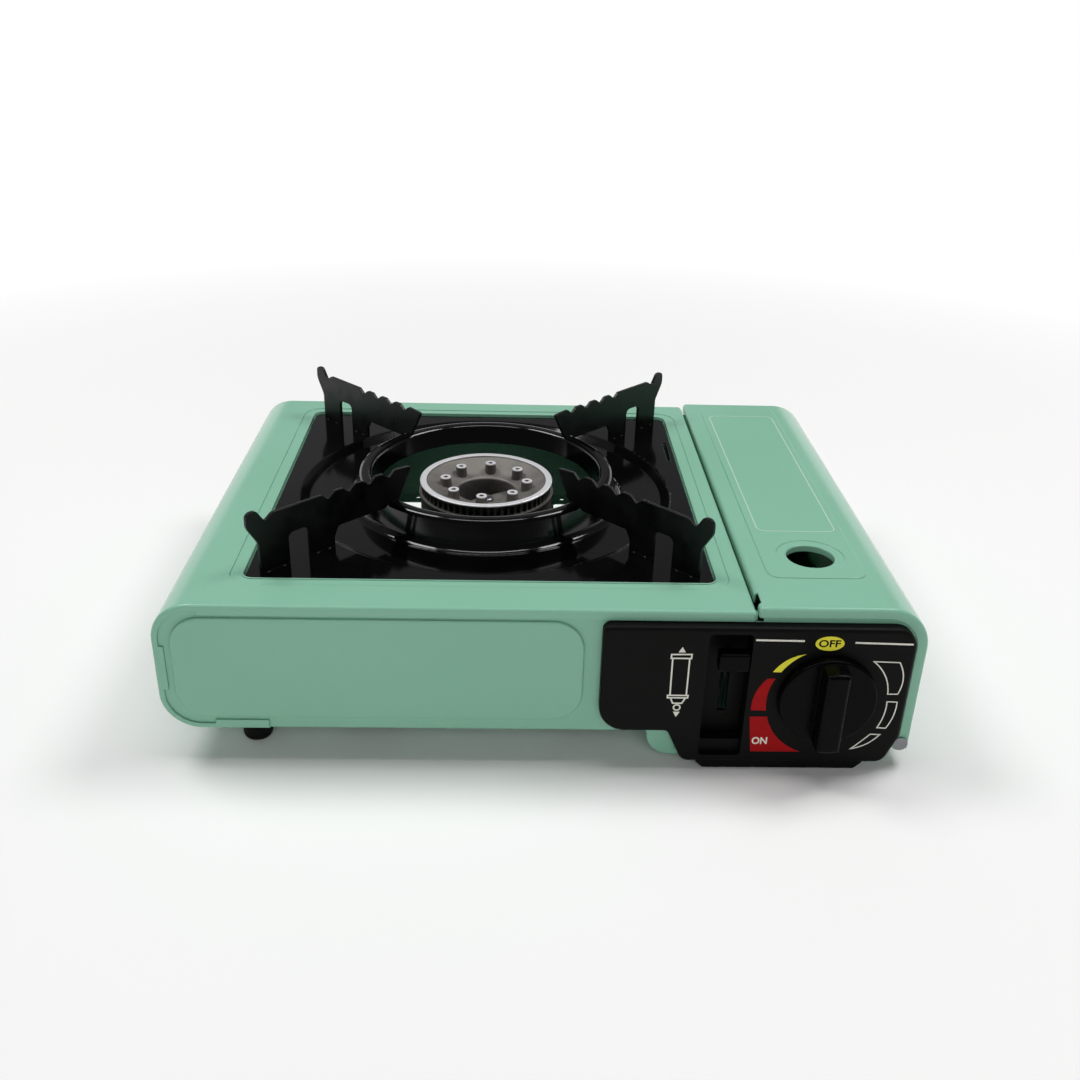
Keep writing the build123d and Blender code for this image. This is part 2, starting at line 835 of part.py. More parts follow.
# Gas way: pipe from the regulator, turned towards the burner's port
pipe_y = front_y + pipe_setback
pipe_z = axis_z - pipe_drop
outlet = Vector(axis_x - regulator_w / 2 - outlet_boss_l, pipe_y, pipe_z)
elbow = Vector(seam_x - elbow_inset, pipe_y, pipe_z)
port_z = bowl_z + bowl_depth / 2 - port_drop
bearing = atan2(elbow.Y - pan_y, elbow.X - pan_x)
port = Vector(pan_x + bowl_r * cos(bearing), pan_y + bowl_r * sin(bearing), port_z)
gas_way = (port - elbow).normalized()
jet_base = elbow + gas_way * jet_run
tube_mouth = jet_base + gas_way * (jet_body_l + jet_tip_l + jet_gap)
tube_end = port - gas_way * stub_l
tube_l = (tube_end - tube_mouth).length
tube_r = tube_bore_r + tube_wall
upright = (Align.CENTER, Align.CENTER, Align.MIN)

with BuildPart() as gas_pipe:
    with BuildLine():
        FilletPolyline(outlet, elbow, jet_base, radius=pipe_bend_r)
    with BuildSketch(Plane(outlet, z_dir=(-1, 0, 0))):
        Circle(pipe_r)
        Circle(pipe_r - pipe_wall, mode=Mode.SUBTRACT)
    sweep()

with BuildPart(Plane(jet_base, z_dir=gas_way)) as gas_jet:
    Cylinder(jet_r, jet_body_l, align=upright)
    with Locations((0, 0, jet_body_l)):
        Cone(pipe_r, pipe_r / 2, jet_tip_l, align=upright)
    Cylinder(pipe_wall / 2, jet_body_l + jet_tip_l, align=upright, mode=Mode.SUBTRACT)

with BuildPart(Plane(tube_mouth, z_dir=gas_way)) as mixing_tube:
    Cylinder(tube_r, tube_l, align=upright)
    Cone(bell_r, tube_r, bell_l, align=upright)
    Cylinder(tube_bore_r, tube_l, align=upright, mode=Mode.SUBTRACT)
    Cone(bell_r - tube_wall, tube_bore_r, bell_l, align=upright, mode=Mode.SUBTRACT)

# Burner bowl: ring chamber with the port stub, and a cross bar with the screw boss
bar_top_z = deck_z - bar_drop
bowl_profile = [
    (burner_well_r, bowl_z),
    (bowl_r, bowl_z),
    (bowl_r, head_z),
    (bowl_r - bowl_wall, head_z),
    (bowl_r - bowl_wall, bowl_z + bowl_wall),
    (burner_well_r + bowl_wall, bowl_z + bowl_wall),
    (burner_well_r + bowl_wall, head_z),
    (burner_well_r, head_z),
]
bowl_bends = [0, 5.0, 0, 0, 3.0, 2.0, 0, 0]
with BuildPart() as burner_bowl:
    with BuildSketch(pan_section):
        add(outline(bowl_profile, bowl_bends))
    revolve(axis=pan_axis)
    with Locations(Location((pan_x, pan_y, bar_top_z), (0, 0, bar_turn))):
        Box(
            2 * burner_well_r + bowl_wall,
            bar_w,
            bar_h,
            align=(Align.CENTER, Align.CENTER, Align.MAX),
        )
    with Locations((pan_x, pan_y, bowl_z)):
        Cylinder(boss_r, bar_top_z - bowl_z, align=upright)
        Cylinder(burner_screw_r + fit, bar_top_z - bowl_z, align=upright, mode=Mode.SUBTRACT)
    with BuildSketch(Plane(tube_end, z_dir=gas_way)):
        Circle(tube_r)
    extrude(amount=stub_l + bowl_wall)
    with BuildSketch(Plane(tube_end, z_dir=gas_way)):
        Circle(tube_bore_r)
    extrude(amount=stub_l + 3 * bowl_wall, mode=Mode.SUBTRACT)

# Burner stand and the screw through bar, boss and stand
stand_foot_z = floor_top_z + stand_sheet
stand_run = [
    (pan_x - stand_foot_x, stand_foot_z),
    (pan_x - stand_low_x, stand_foot_z),
    (pan_x - stand_top_x, bowl_z),
    (pan_x + stand_top_x, bowl_z),
    (pan_x + stand_low_x, stand_foot_z),
    (pan_x + stand_foot_x, stand_foot_z),
]
with BuildPart() as burner_stand:
    with BuildSketch(face_at(pan_y - stand_w / 2)):
        add(bent_sheet(stand_run, bend_r, stand_sheet, Side.RIGHT))
    extrude(amount=-stand_w)
    with Locations((pan_x, pan_y, bowl_z)):
        Cylinder(burner_screw_r + fit, 3 * stand_sheet, mode=Mode.SUBTRACT)

with BuildPart() as burner_screw:
    with Locations((pan_x, pan_y, bar_top_z)):
        Cylinder(2 * burner_screw_r, burner_screw_head, align=upright)
    fillet(burner_screw.edges().sort_by(Axis.Z)[-1], burner_screw_dome)
    with Locations((pan_x, pan_y, bar_top_z)):
        Cylinder(
            burner_screw_r,
            bar_top_z - bowl_z + burner_screw_tail,
            align=(Align.CENTER, Align.CENTER, Align.MAX),
        )
    with Locations((pan_x, pan_y, bar_top_z + burner_screw_head)):
        with PolarLocations(0, 2, angular_range=180):
            Box(cross_l, cross_w, burner_screw_head, mode=Mode.SUBTRACT)

# Spark electrode on a clip under the stand's top
electrode_r = bowl_r + electrode_gap
electrode_x = pan_x + electrode_r * cos(radians(electrode_turn))
electrode_y = pan_y + electrode_r * sin(radians(electrode_turn))
clip_top_z = bowl_z - stand_sheet
insulator_top_z = clip_top_z + insulator_h
with BuildPart() as electrode_clip:
    with BuildSketch(Plane.XY.offset(clip_top_z)):
        with Locations(Location((pan_x, pan_y, 0), (0, 0, electrode_turn))):
            with Locations((electrode_clip_root, 0)):
                Rectangle(electrode_r, electrode_clip_w, align=(Align.MIN, Align.CENTER))
        with Locations((electrode_x, electrode_y)):
            Circle(insulator_r + press_gap, mode=Mode.SUBTRACT)
    extrude(amount=-stand_sheet)

with BuildPart() as electrode_insulator:
    with Locations((electrode_x, electrode_y, clip_top_z)):
        Cylinder(insulator_r, 2 * insulator_h / 3)
        Cylinder(insulator_r, insulator_h, align=upright)
        Cylinder(insulator_r + insulator_collar, insulator_collar, align=upright)

spark_gap_r = flange_r + spark_gap
spark_way = Vector(cos(radians(electrode_turn)), sin(radians(electrode_turn)), 0)
spark_tip = Vector(pan_x, pan_y, deck_z + cast_edge) + spark_way * spark_gap_r
with BuildPart() as electrode_pin:
    with BuildLine():
        FilletPolyline(
            (electrode_x, electrode_y, insulator_top_z),
            (electrode_x, electrode_y, head_z),
            spark_tip,
            radius=bend_r,
        )
    with BuildSketch(Plane((electrode_x, electrode_y, insulator_top_z))):
        Circle(wire_r)
    sweep()

# Regulator: cast block with inlet, outlet and spindle bore
regulator_mid_y = bracket_y - regulator_d / 2
regulator_top_z = axis_z + regulator_w / 2
with BuildPart() as regulator_body:
    with Locations((axis_x, regulator_mid_y, axis_z)):
        Box(regulator_w, regulator_d, regulator_w)
    fillet(regulator_body.edges().filter_by(Axis.Y), cast_r)
    with BuildSketch(face_at(bracket_y)):
        with Locations((axis_x, axis_z)):
            Circle(inlet_boss_r)
    extrude(amount=-inlet_boss_l)
    with BuildSketch(Plane.YZ.offset(axis_x - regulator_w / 2)):
        with Locations((pipe_y, pipe_z)):
            Circle(2 * pipe_r)
    extrude(amount=-outlet_boss_l)
    with BuildSketch(Plane.YZ.offset(outlet.X)):
        with Locations((pipe_y, pipe_z)):
            Circle(pipe_r - pipe_wall)
    extrude(amount=2 * outlet_boss_l, mode=Mode.SUBTRACT)
    with BuildSketch(face_at(bracket_y + inlet_boss_l)):
        with Locations((axis_x, axis_z)):
            Circle(inlet_r)
    extrude(amount=inlet_depth, mode=Mode.SUBTRACT)
    with BuildSketch(face_at(bracket_y + inlet_boss_l - inlet_depth)):
        with Locations((axis_x, axis_z)):
            Circle(seal_r)
    extrude(amount=seal_h, mode=Mode.SUBTRACT)
    with BuildSketch(face_at(regulator_y)):
        with Locations((axis_x, axis_z)):
            Circle(spindle_r + run_gap)
    extrude(amount=-regulator_d / 3, mode=Mode.SUBTRACT)

with BuildPart() as inlet_seal:
    with BuildSketch(face_at(bracket_y + inlet_boss_l - inlet_depth)):
        with Locations((axis_x, axis_z)):
            Circle(seal_r - fit)
            Circle(seal_r / 3, mode=Mode.SUBTRACT)
    extrude(amount=seal_h)

cap_r = regulator_d / 2 - fit
with BuildPart() as regulator_cap:
    with Locations((axis_x, regulator_mid_y, regulator_top_z)):
        Cylinder(cap_r, cap_h, align=upright)
        Cylinder(dome_r, cap_h + dome_h, align=upright)
    fillet(regulator_cap.edges().sort_by(Axis.Z)[-1], dome_edge_r)

with BuildPart() as cap_screws:
    with Locations((axis_x, regulator_mid_y, regulator_top_z + cap_h)):
        with PolarLocations((cap_r + dome_r) / 2, 4, start_angle=45):
            Cylinder(cap_screw_r, screw_head_h, align=upright)

with BuildPart() as spindle_gland:
    with BuildSketch(face_at(regulator_y)):
        with Locations((axis_x, axis_z)):
            RegularPolygon(gland_r, 6)
            Circle(spindle_r + run_gap, mode=Mode.SUBTRACT)
    extrude(amount=gland_l)

# Bracket: upright plate behind the regulator, foot plate with the yoke's guides
guide_x = yoke_foot_w / 2 + rest_gap
bracket_run = [
    (regulator_y - bracket_foot, bay_top_z),
    (bracket_y + bracket_sheet, bay_top_z),
    (bracket_y + bracket_sheet, axis_z + bracket_rise),
]
bracket_top_z = bay_top_z + bracket_sheet
with BuildPart() as regulator_bracket:
    with BuildSketch(Plane.YZ.offset(axis_x - bracket_w / 2)):
        add(bent_sheet(bracket_run, bend_r, bracket_sheet, Side.LEFT))
    extrude(amount=bracket_w)
    with BuildSketch(face_at(bracket_y - bend_r)):
        with Locations((axis_x, axis_z)):
            Circle(inlet_boss_r + fit)
        with Locations((axis_x, bracket_top_z)):
            Rectangle(2 * guide_x, guide_h + yoke_gap, align=(Align.CENTER, Align.MIN))
    extrude(amount=-(bend_r + bracket_sheet), mode=Mode.SUBTRACT)
    with BuildSketch(face_at(bracket_y - bend_r)):
        for way in (-1, 1):
            with Locations((axis_x + way * (guide_x + bracket_sheet / 2), bracket_top_z)):
                Rectangle(bracket_sheet, guide_h, align=(Align.CENTER, Align.MIN))
    extrude(amount=regulator_d)

# Knob, spindle and the spiral cam that works the igniter
knob_back_y = panel_front_y - knob_gap
knob_face_y = knob_back_y - knob_skirt
knob_front_y = front_y - knob_reach
bore_front_y = knob_front_y + knob_wall
with BuildPart() as control_knob:
    with BuildSketch(face_at(knob_back_y)):
        with Locations((axis_x, axis_z)):
            Circle(knob_r)
    extrude(amount=knob_skirt, taper=knob_taper)
    fillet(control_knob.edges().sort_by(Axis.Y)[0], knob_edge_r)
    with BuildSketch(face_at(knob_face_y)):
        with Locations((axis_x, axis_z)):
            Circle(grip_r)
            Rectangle(grip_w, 2 * grip_r, mode=Mode.INTERSECT)
    extrude(amount=knob_face_y - knob_front_y)
    fillet(control_knob.faces().sort_by(Axis.Y)[0].edges(), grip_edge_r)
    with BuildSketch(face_at(knob_back_y)):
        with Locations((axis_x, axis_z)):
            Circle(spindle_r + press_gap)
    extrude(amount=knob_back_y - bore_front_y, mode=Mode.SUBTRACT)

spindle_front_y = bore_front_y + rest_gap
spindle_rear_y = regulator_y + regulator_d / 4
with BuildPart() as valve_spindle:
    with BuildSketch(face_at(spindle_front_y)):
        with Locations((axis_x, axis_z)):
            Circle(spindle_r)
    extrude(amount=-(spindle_rear_y - spindle_front_y))

cam_y = front_y + cam_setback


def cam_point(turn):
    """Rim of the cam: the radius grows with the turn up to full lift, then falls back."""
    rise = turn / knob_turn if turn <= knob_turn else (360 - turn) / (360 - knob_turn)
    rim = cam_r + cam_lift * rise
    return axis_x + rim * cos(radians(turn)), axis_z - rim * sin(radians(turn))


with BuildPart() as ignition_cam:
    with BuildSketch(face_at(cam_y)):
        with BuildLine():
            Spline(*[cam_point(knob_turn * step / 6) for step in range(7)])
            Spline(*[cam_point(knob_turn + (360 - knob_turn) * step / 8) for step in range(9)])
        make_face()
        with Locations((axis_x, axis_z)):
            Circle(spindle_r + press_gap, mode=Mode.SUBTRACT)
    extrude(amount=-cam_w)

# Piezo igniter beside the spindle, its plunger against the cam
igniter_y = cam_y + cam_w / 2
plunger_x = axis_x + cam_r + cam_gap
igniter_x = plunger_x + plunger_r + 2 * cam_gap + cam_lift
plunger_hole_l = plunger_l + plunger_x + cam_lift + cam_gap - igniter_x
with BuildPart(Plane((plunger_x + plunger_r, igniter_y, axis_z), z_dir=(1, 0, 0))) as igniter_plunger:
    Sphere(plunger_r)
    Cylinder(plunger_r, plunger_l - plunger_r, align=upright)

with BuildPart(Plane((igniter_x, igniter_y, axis_z), z_dir=(1, 0, 0))) as piezo_igniter:
    Cylinder(igniter_r, igniter_l, align=upright)
    chamfer(piezo_igniter.edges(), igniter_edge)
    Cylinder(plunger_r + run_gap, plunger_hole_l, align=upright, mode=Mode.SUBTRACT)

clip_x = igniter_x + igniter_l / 2
clip_d = igniter_y + igniter_r + igniter_clip_wall - inner_front_y
clip_h = 2 * (igniter_r + igniter_clip_wall)
with BuildPart() as igniter_clip:
    with BuildSketch(Plane.YZ.offset(clip_x - igniter_clip_w / 2)):
        with Locations((inner_front_y, axis_z)):
            Rectangle(clip_d, clip_h, align=(Align.MIN, Align.CENTER))
        with Locations((igniter_y, axis_z)):
            Circle(igniter_r + press_gap, mode=Mode.SUBTRACT)
    extrude(amount=igniter_clip_w)

# Lock lever: plate with hub, arm through the channel and a tail for the drive pin
half_swing = lever_swing / 2
arm_turn = 180 - half_swing
tail_turn = 90 - half_swing
drive_y = pivot_y + drive_r * sin(radians(half_swing))
drive_z = pivot_z + drive_r * cos(radians(half_swing))
tab_y = pivot_y - lever_l * cos(radians(half_swing))
tab_z = pivot_z + lever_l * sin(radians(half_swing))
arm_l = lever_l - lever_room
with BuildPart() as lock_lever:
    with BuildSketch(Plane.YZ.offset(lever_x - lever_sheet / 2)):
        with Locations((pivot_y, pivot_z)):
            Circle(lever_hub_r)
        with Locations(Location((pivot_y, pivot_z, 0), (0, 0, arm_turn))):
            Rectangle(arm_l, lever_w, align=(Align.MIN, Align.CENTER))
        with Locations(Location((pivot_y, pivot_z, 0), (0, 0, tail_turn))):
            Rectangle(drive_r, lever_w, align=(Align.MIN, Align.CENTER))
        with Locations((drive_y, drive_z)):
            Circle(lever_w / 2)
        with Locations((pivot_y, pivot_z)):
            Circle(pivot_r + run_gap, mode=Mode.SUBTRACT)
    extrude(amount=lever_sheet)

with BuildPart() as lever_tab:
    with Locations((lever_x + tab_shift, tab_y, tab_z)):
        Box(tab_w, tab_d, tab_h)
    fillet(lever_tab.edges(), tab_edge_r)
    with BuildSketch(Plane.YZ.offset(lever_x - lever_sheet / 2 - press_gap)):
        with Locations(Location((pivot_y, pivot_z, 0), (0, 0, arm_turn))):
            Rectangle(arm_l + press_gap, lever_w + 2 * press_gap, align=(Align.MIN, Align.CENTER))
    extrude(amount=lever_sheet + 2 * press_gap, mode=Mode.SUBTRACT)

cheek_x = lever_sheet / 2 + cheek_gap + bracket_sheet
cheek_w = 2 * lever_hub_r
cheek_top_z = pivot_z + cheek_over
cheek_run = [
    (lever_x - cheek_x, cheek_top_z),
    (lever_x - cheek_x, bay_top_z),
    (lever_x + cheek_x, bay_top_z),
    (lever_x + cheek_x, cheek_top_z),
]
with BuildPart() as lever_bracket:
    with BuildSketch(face_at(pivot_y - cheek_w / 2)):
        add(bent_sheet(cheek_run, bend_r, bracket_sheet, Side.LEFT))
    extrude(amount=-cheek_w)
    fillet(lever_bracket.edges().filter_by(Axis.X).group_by(Axis.Z)[-1], cheek_r)
    with BuildSketch(Plane.YZ.offset(lever_x - cheek_x)):
        with Locations((pivot_y, pivot_z)):
            Circle(pivot_r + press_gap)
    extrude(amount=2 * cheek_x, mode=Mode.SUBTRACT)

with BuildPart() as lever_pivot_pin:
    with BuildSketch(Plane.YZ.offset(lever_x)):
        with Locations((pivot_y, pivot_z)):
            Circle(pivot_r)
    extrude(amount=cheek_x, both=True)
    for way in (-1, 1):
        with BuildSketch(Plane.YZ.offset(lever_x + way * cheek_x)):
            with Locations((pivot_y, pivot_z)):
                Circle(pivot_head_r)
        extrude(amount=way * bracket_sheet)

# Yoke: fork round the cartridge collar, side arm to the drive pin, foot in the guides
yoke_travel = 2 * drive_r * sin(radians(half_swing))
yoke_x = lever_x + cheek_x + bracket_sheet + yoke_gap
yoke_y = bracket_y + bracket_sheet + yoke_travel + yoke_gap
yoke_foot_z = bracket_top_z + rest_gap
yoke_low_z = bracket_top_z + guide_h + yoke_lift
yoke_arm_low_z = drive_z - yoke_arm_half
yoke_arm_top_z = drive_z + yoke_arm_half
yoke_right_x = axis_x + yoke_fork_r + yoke_prong_w
yoke_prong_z = axis_z + yoke_prong_h
pin_slot_z = (drive_z + pivot_z + drive_r) / 2
with BuildPart() as cartridge_yoke:
    with BuildSketch(face_at(yoke_y)):
        with Locations((yoke_x, yoke_low_z)):
            Rectangle(yoke_right_x - yoke_x, yoke_prong_z - yoke_low_z, align=Align.MIN)
        with Locations((yoke_x, yoke_low_z)):
            Rectangle(lever_w, yoke_arm_top_z - yoke_low_z, align=Align.MIN)
        with Locations((axis_x, yoke_foot_z)):
            Rectangle(yoke_foot_w, yoke_low_z - yoke_foot_z, align=(Align.CENTER, Align.MIN))
        with Locations((axis_x, axis_z)):
            Circle(yoke_fork_r, mode=Mode.SUBTRACT)
            Rectangle(2 * yoke_fork_r, yoke_fork_r, align=(Align.CENTER, Align.MIN), mode=Mode.SUBTRACT)
    extrude(amount=-yoke_sheet)
    with BuildSketch(Plane.XY.offset(yoke_foot_z)):
        with Locations((axis_x, yoke_y)):
            Rectangle(yoke_foot_w, yoke_foot_l, align=(Align.CENTER, Align.MAX))
    extrude(amount=yoke_sheet)
    with BuildSketch(Plane.YZ.offset(yoke_x)):
        with Locations((yoke_y, yoke_arm_low_z)):
            Rectangle(
                yoke_y - drive_y + 2 * lever_w,
                yoke_arm_top_z - yoke_arm_low_z,
                align=(Align.MAX, Align.MIN),
            )
        with Locations((drive_y, pin_slot_z)):
            Rectangle(2 * (drive_pin_r + rest_gap), 2 * (drive_pin_r + yoke_slot_room), mode=Mode.SUBTRACT)
    extrude(amount=yoke_sheet)

with BuildPart() as lever_drive_pin:
    with BuildSketch(Plane.YZ.offset(lever_x + lever_sheet / 2)):
        with Locations((drive_y, drive_z)):
            Circle(drive_pin_r)
    extrude(amount=yoke_x + yoke_sheet + drive_pin_over - lever_x - lever_sheet / 2)

# Cradle: channel whose edges carry the cartridge
cradle_y = front_y + cradle_setback
cradle_edge_z = axis_z - (cartridge_d ** 2 / 4 - cradle_half_w ** 2) ** 0.5 - rest_gap
cradle_run = [
    (axis_x - cradle_half_w, cradle_edge_z),
    (axis_x - cradle_half_w, bay_top_z),
    (axis_x + cradle_half_w, bay_top_z),
    (axis_x + cradle_half_w, cradle_edge_z),
]
with BuildPart() as cartridge_cradle:
    with BuildSketch(face_at(cradle_y)):
        add(bent_sheet(cradle_run, bend_r, sheet, Side.LEFT))
    extrude(amount=-(inner_rear_y - cradle_rear_gap - cradle_y))

# Control panel: moulded cover with the lever channel and screw bosses
panel_back_y = front_y + sheet
panel_inner_y = panel_front_y + panel_wall
ledge_x = panel_x + panel_step_w + panel_step_run + ledge_left
ledge_right_x = panel_right_x - panel_chamfer_w - ledge_right
ledge_low_z = bay_z - ledge_drop
ledge_points = [
    (ledge_x, bay_z + panel_wall),
    (ledge_x, bay_z),
    (ledge_x + ledge_ramp, ledge_low_z),
    (ledge_right_x - ledge_ramp, ledge_low_z),
    (ledge_right_x, bay_z),
    (ledge_right_x, bay_z + panel_wall),
]
ledge_bends = [0, bend_r, bend_r, bend_r, bend_r, 0]
lever_reach = pivot_y - channel_back_y
lever_slot_h = 2 * lever_room + (
    2 * lever_reach * sin(radians(half_swing)) + lever_w
) / cos(radians(half_swing))
with BuildPart() as control_panel:
    with BuildSketch(face_at(panel_back_y)):
        add(outline(panel_points, panel_bends))
    extrude(amount=panel_back_y - panel_front_y)
    fillet(control_panel.faces().sort_by(Axis.Y)[0].edges(), panel_edge_r)
    with BuildSketch(face_at(panel_back_y)):
        add(outline(panel_points, panel_bends))
        offset(amount=-panel_wall)
    extrude(amount=panel_back_y - panel_inner_y, mode=Mode.SUBTRACT)
    with BuildSketch(face_at(panel_back_y)):
        with Locations(panel_screw_spots):
            Circle(screw_r + panel_wall)
    extrude(amount=panel_back_y - panel_inner_y)
    with BuildSketch(face_at(panel_back_y)):
        with Locations(panel_screw_spots):
            Circle(screw_r + fit)
    extrude(amount=panel_back_y - panel_inner_y, mode=Mode.SUBTRACT)
    with BuildSketch(face_at(channel_back_y + channel_floor)):
        with Locations(channel_mid):
            Rectangle(channel_out_w, channel_out_h)
    extrude(amount=channel_back_y + channel_floor - panel_inner_y)
    with BuildSketch(face_at(channel_back_y)):
        with Locations(channel_mid):
            RectangleRounded(channel_w, channel_h, bend_r)
    extrude(amount=channel_depth, mode=Mode.SUBTRACT)
    with BuildSketch(face_at(channel_back_y)):
        with Locations((channel_mid[0], channel_low_z)):
            Rectangle(channel_w, sill_h, align=(Align.CENTER, Align.MIN))
    extrude(amount=channel_depth - sill_drop)
    with BuildSketch(face_at(channel_back_y + channel_floor)):
        with Locations((lever_x, pivot_z)):
            Rectangle(lever_slot_w, lever_slot_h)
    extrude(amount=channel_floor, mode=Mode.SUBTRACT)
    with BuildSketch(face_at(panel_inner_y)):
        with Locations((axis_x, axis_z)):
            Circle(2 * spindle_r)
    extrude(amount=panel_wall, mode=Mode.SUBTRACT)
    with BuildSketch(face_at(panel_front_y + ledge_setback)):
        add(outline(ledge_points, ledge_bends))
    extrude(amount=-(panel_back_y - panel_front_y - 2 * ledge_setback))

with BuildPart() as panel_screws:
    with BuildSketch(face_at(inner_front_y)):
        with Locations(panel_screw_spots):
            Circle(screw_head_r)
    extrude(amount=-screw_head_h)
    with BuildSketch(face_at(inner_front_y)):
        with Locations(panel_screw_spots):
            Circle(screw_r)
    extrude(amount=inner_front_y - panel_inner_y - rest_gap)

# Feet and the screws under the floor
with BuildPart() as left_feet:
    for foot_y in (front_y + foot_inset, rear_y - foot_inset):
        with Locations((foot_x_inset - half_w, foot_y, 0)):
            Cylinder(foot_r, floor_z, align=upright)
    fillet(left_feet.edges().group_by(Axis.Z)[0], left_foot_edge)

with BuildPart() as right_feet:
    for foot_y in (front_y + foot_inset, rear_y - foot_inset):
        with Locations((half_w - right_foot_x_inset, foot_y, 0)):
            Cylinder(foot_r, bay_z, align=upright)
    fillet(right_feet.edges().group_by(Axis.Z)[0], right_foot_edge)

with BuildPart() as base_screws:
    with BuildSketch(Plane.XY.offset(floor_z)):
        with Locations(base_screw_spots):
            Circle(screw_head_r)
    extrude(amount=-screw_head_h)
    with BuildSketch(Plane.XY.offset(floor_z)):
        with Locations(base_screw_spots):
            Circle(screw_r)
    extrude(amount=2 * sheet + screw_tail)

# One file for each piece
pieces = {
    "top_shell": top_shell,
    "front_panel": front_panel,
    "rear_panel": rear_panel,
    "base_floor": base_floor,
    "divider_wall": divider_wall,
    "cartridge_lid": cartridge_lid,
    "lid_hinge_pins": lid_hinge_pins,
    "drip_pan": drip_pan,
    **pan_supports,
    "burner_head": burner_head,
    "burner_bowl": burner_bowl,
    "burner_screw": burner_screw,
    "burner_stand": burner_stand,
    "electrode_clip": electrode_clip,
    "electrode_insulator": electrode_insulator,
    "electrode_pin": electrode_pin,
    "gas_pipe": gas_pipe,
    "gas_jet": gas_jet,
    "mixing_tube": mixing_tube,
    "regulator_body": regulator_body,
    "regulator_cap": regulator_cap,
    "cap_screws": cap_screws,
    "spindle_gland": spindle_gland,
    "inlet_seal": inlet_seal,
    "regulator_bracket": regulator_bracket,
    "control_panel": control_panel,
    "panel_screws": panel_screws,
    "control_knob": control_knob,
    "valve_spindle": valve_spindle,
    "ignition_cam": ignition_cam,
    "igniter_plunger": igniter_plunger,
    "piezo_igniter": piezo_igniter,
    "igniter_clip": igniter_clip,
    "lock_lever": lock_lever,
    "lever_tab": lever_tab,
    "lever_drive_pin": lever_drive_pin,
    "lever_bracket": lever_bracket,
    "lever_pivot_pin": lever_pivot_pin,
    "cartridge_yoke": cartridge_yoke,
    "cartridge_cradle": cartridge_cradle,
    "left_feet": left_feet,
    "right_feet": right_feet,
    "base_screws": base_screws,
}
os.makedirs("parts", exist_ok=True)
for name, piece in pieces.items():
    piece.part.label = name
    export_step(piece.part, f"parts/{name}.step")
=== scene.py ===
# %% [markdown]
# # A table-top gas stove, dressed
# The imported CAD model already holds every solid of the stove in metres: sheet-metal body, lid, drip pan,
# supports, burner, regulator and controls. This lesson gives each solid the finish of its real material,
# adds the printed marks, weld beads and a hem that are too thin for the CAD, and sets a plain studio round
# it.

# %% Load the frame
import json
import math

import bmesh
import bpy
import numpy as np
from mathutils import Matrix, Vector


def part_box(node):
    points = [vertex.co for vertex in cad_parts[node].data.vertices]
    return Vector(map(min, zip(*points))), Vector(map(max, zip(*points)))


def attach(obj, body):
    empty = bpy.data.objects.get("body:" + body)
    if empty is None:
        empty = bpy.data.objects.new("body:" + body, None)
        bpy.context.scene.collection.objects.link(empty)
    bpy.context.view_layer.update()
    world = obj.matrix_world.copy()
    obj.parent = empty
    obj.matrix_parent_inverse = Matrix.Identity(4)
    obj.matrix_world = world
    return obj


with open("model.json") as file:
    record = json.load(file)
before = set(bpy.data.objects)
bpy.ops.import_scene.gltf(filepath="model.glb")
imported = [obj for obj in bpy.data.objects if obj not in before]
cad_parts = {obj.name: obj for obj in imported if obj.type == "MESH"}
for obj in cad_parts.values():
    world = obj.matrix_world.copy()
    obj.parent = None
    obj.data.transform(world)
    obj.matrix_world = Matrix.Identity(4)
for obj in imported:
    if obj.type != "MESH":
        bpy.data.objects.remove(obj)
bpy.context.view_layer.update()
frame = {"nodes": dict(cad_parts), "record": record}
nodes = frame["nodes"]

# %% [markdown]
# ## Colour and node helpers
# Colours are written as the sRGB hex codes a paint maker would quote. Blender's shaders count in linear
# light, so one function undoes the display curve. A second function adds one shader node, sets it and links
# it. The third turns a real size in millimetres into the scale of a noise pattern, whose features are one
# unit wide. Blender's Mix node has sockets of the same name for each kind of value, so they are told apart
# by number, and the numbers get names here.

# %% Colour and node helpers
MM = 0.001
SHARE, COLOUR_1, COLOUR_2, MIXED_COLOUR = 0, 6, 7, 2
NUMBER_1, NUMBER_2, MIXED_NUMBER = 2, 3, 0


def linear(hex_code):
    """Linear RGBA of an sRGB hex code: each channel goes through the inverse display curve."""
    srgb = np.array([int(hex_code[i : i + 2], 16) for i in (1, 3, 5)]) / 255
    light = np.where(srgb <= 0.04045, srgb / 12.92, ((srgb + 0.055) / 1.055) ** 2.4)
    return (*light.tolist(), 1.0)


def add(tree, kind, inputs=None, **settings):
    """One shader node: settings become its properties, inputs are values or other nodes' outputs."""
    node = tree.nodes.new("ShaderNode" + kind)
    for name, value in settings.items():
        setattr(node, name, value)
    for name, value in (inputs or {}).items():
        if isinstance(value, bpy.types.NodeSocket):
            tree.links.new(value, node.inputs[name])
        else:
            node.inputs[name].default_value = value
    return node


def per_mm(size):
    """Noise scale whose features are about this many millimetres wide."""
    return 1 / (size * MM)


print("mint top as linear light:", np.round(linear("#86BBA2")[:3], 3))

# %% [markdown]
# ## One recipe for a made surface
# No real surface is one flat colour. Its tone drifts between two close values, its gloss drifts with it, it
# has a skin of its own size (orange peel, mould grain, casting sand), and its edges are never knife sharp. A
# fixed colour would look like plastic on everything, so one recipe holds these four, and each finish below
# gives it the tones, sizes and gloss of its own material. Broad noise drives tone and gloss, fine noise the
# skin, and a small bevel of the normals rounds the edges.

# %% One recipe for a made surface
cloud_low, cloud_high = 0.3, 0.7  # noise rarely leaves this range
skin_strength, edge_samples = 0.3, 6


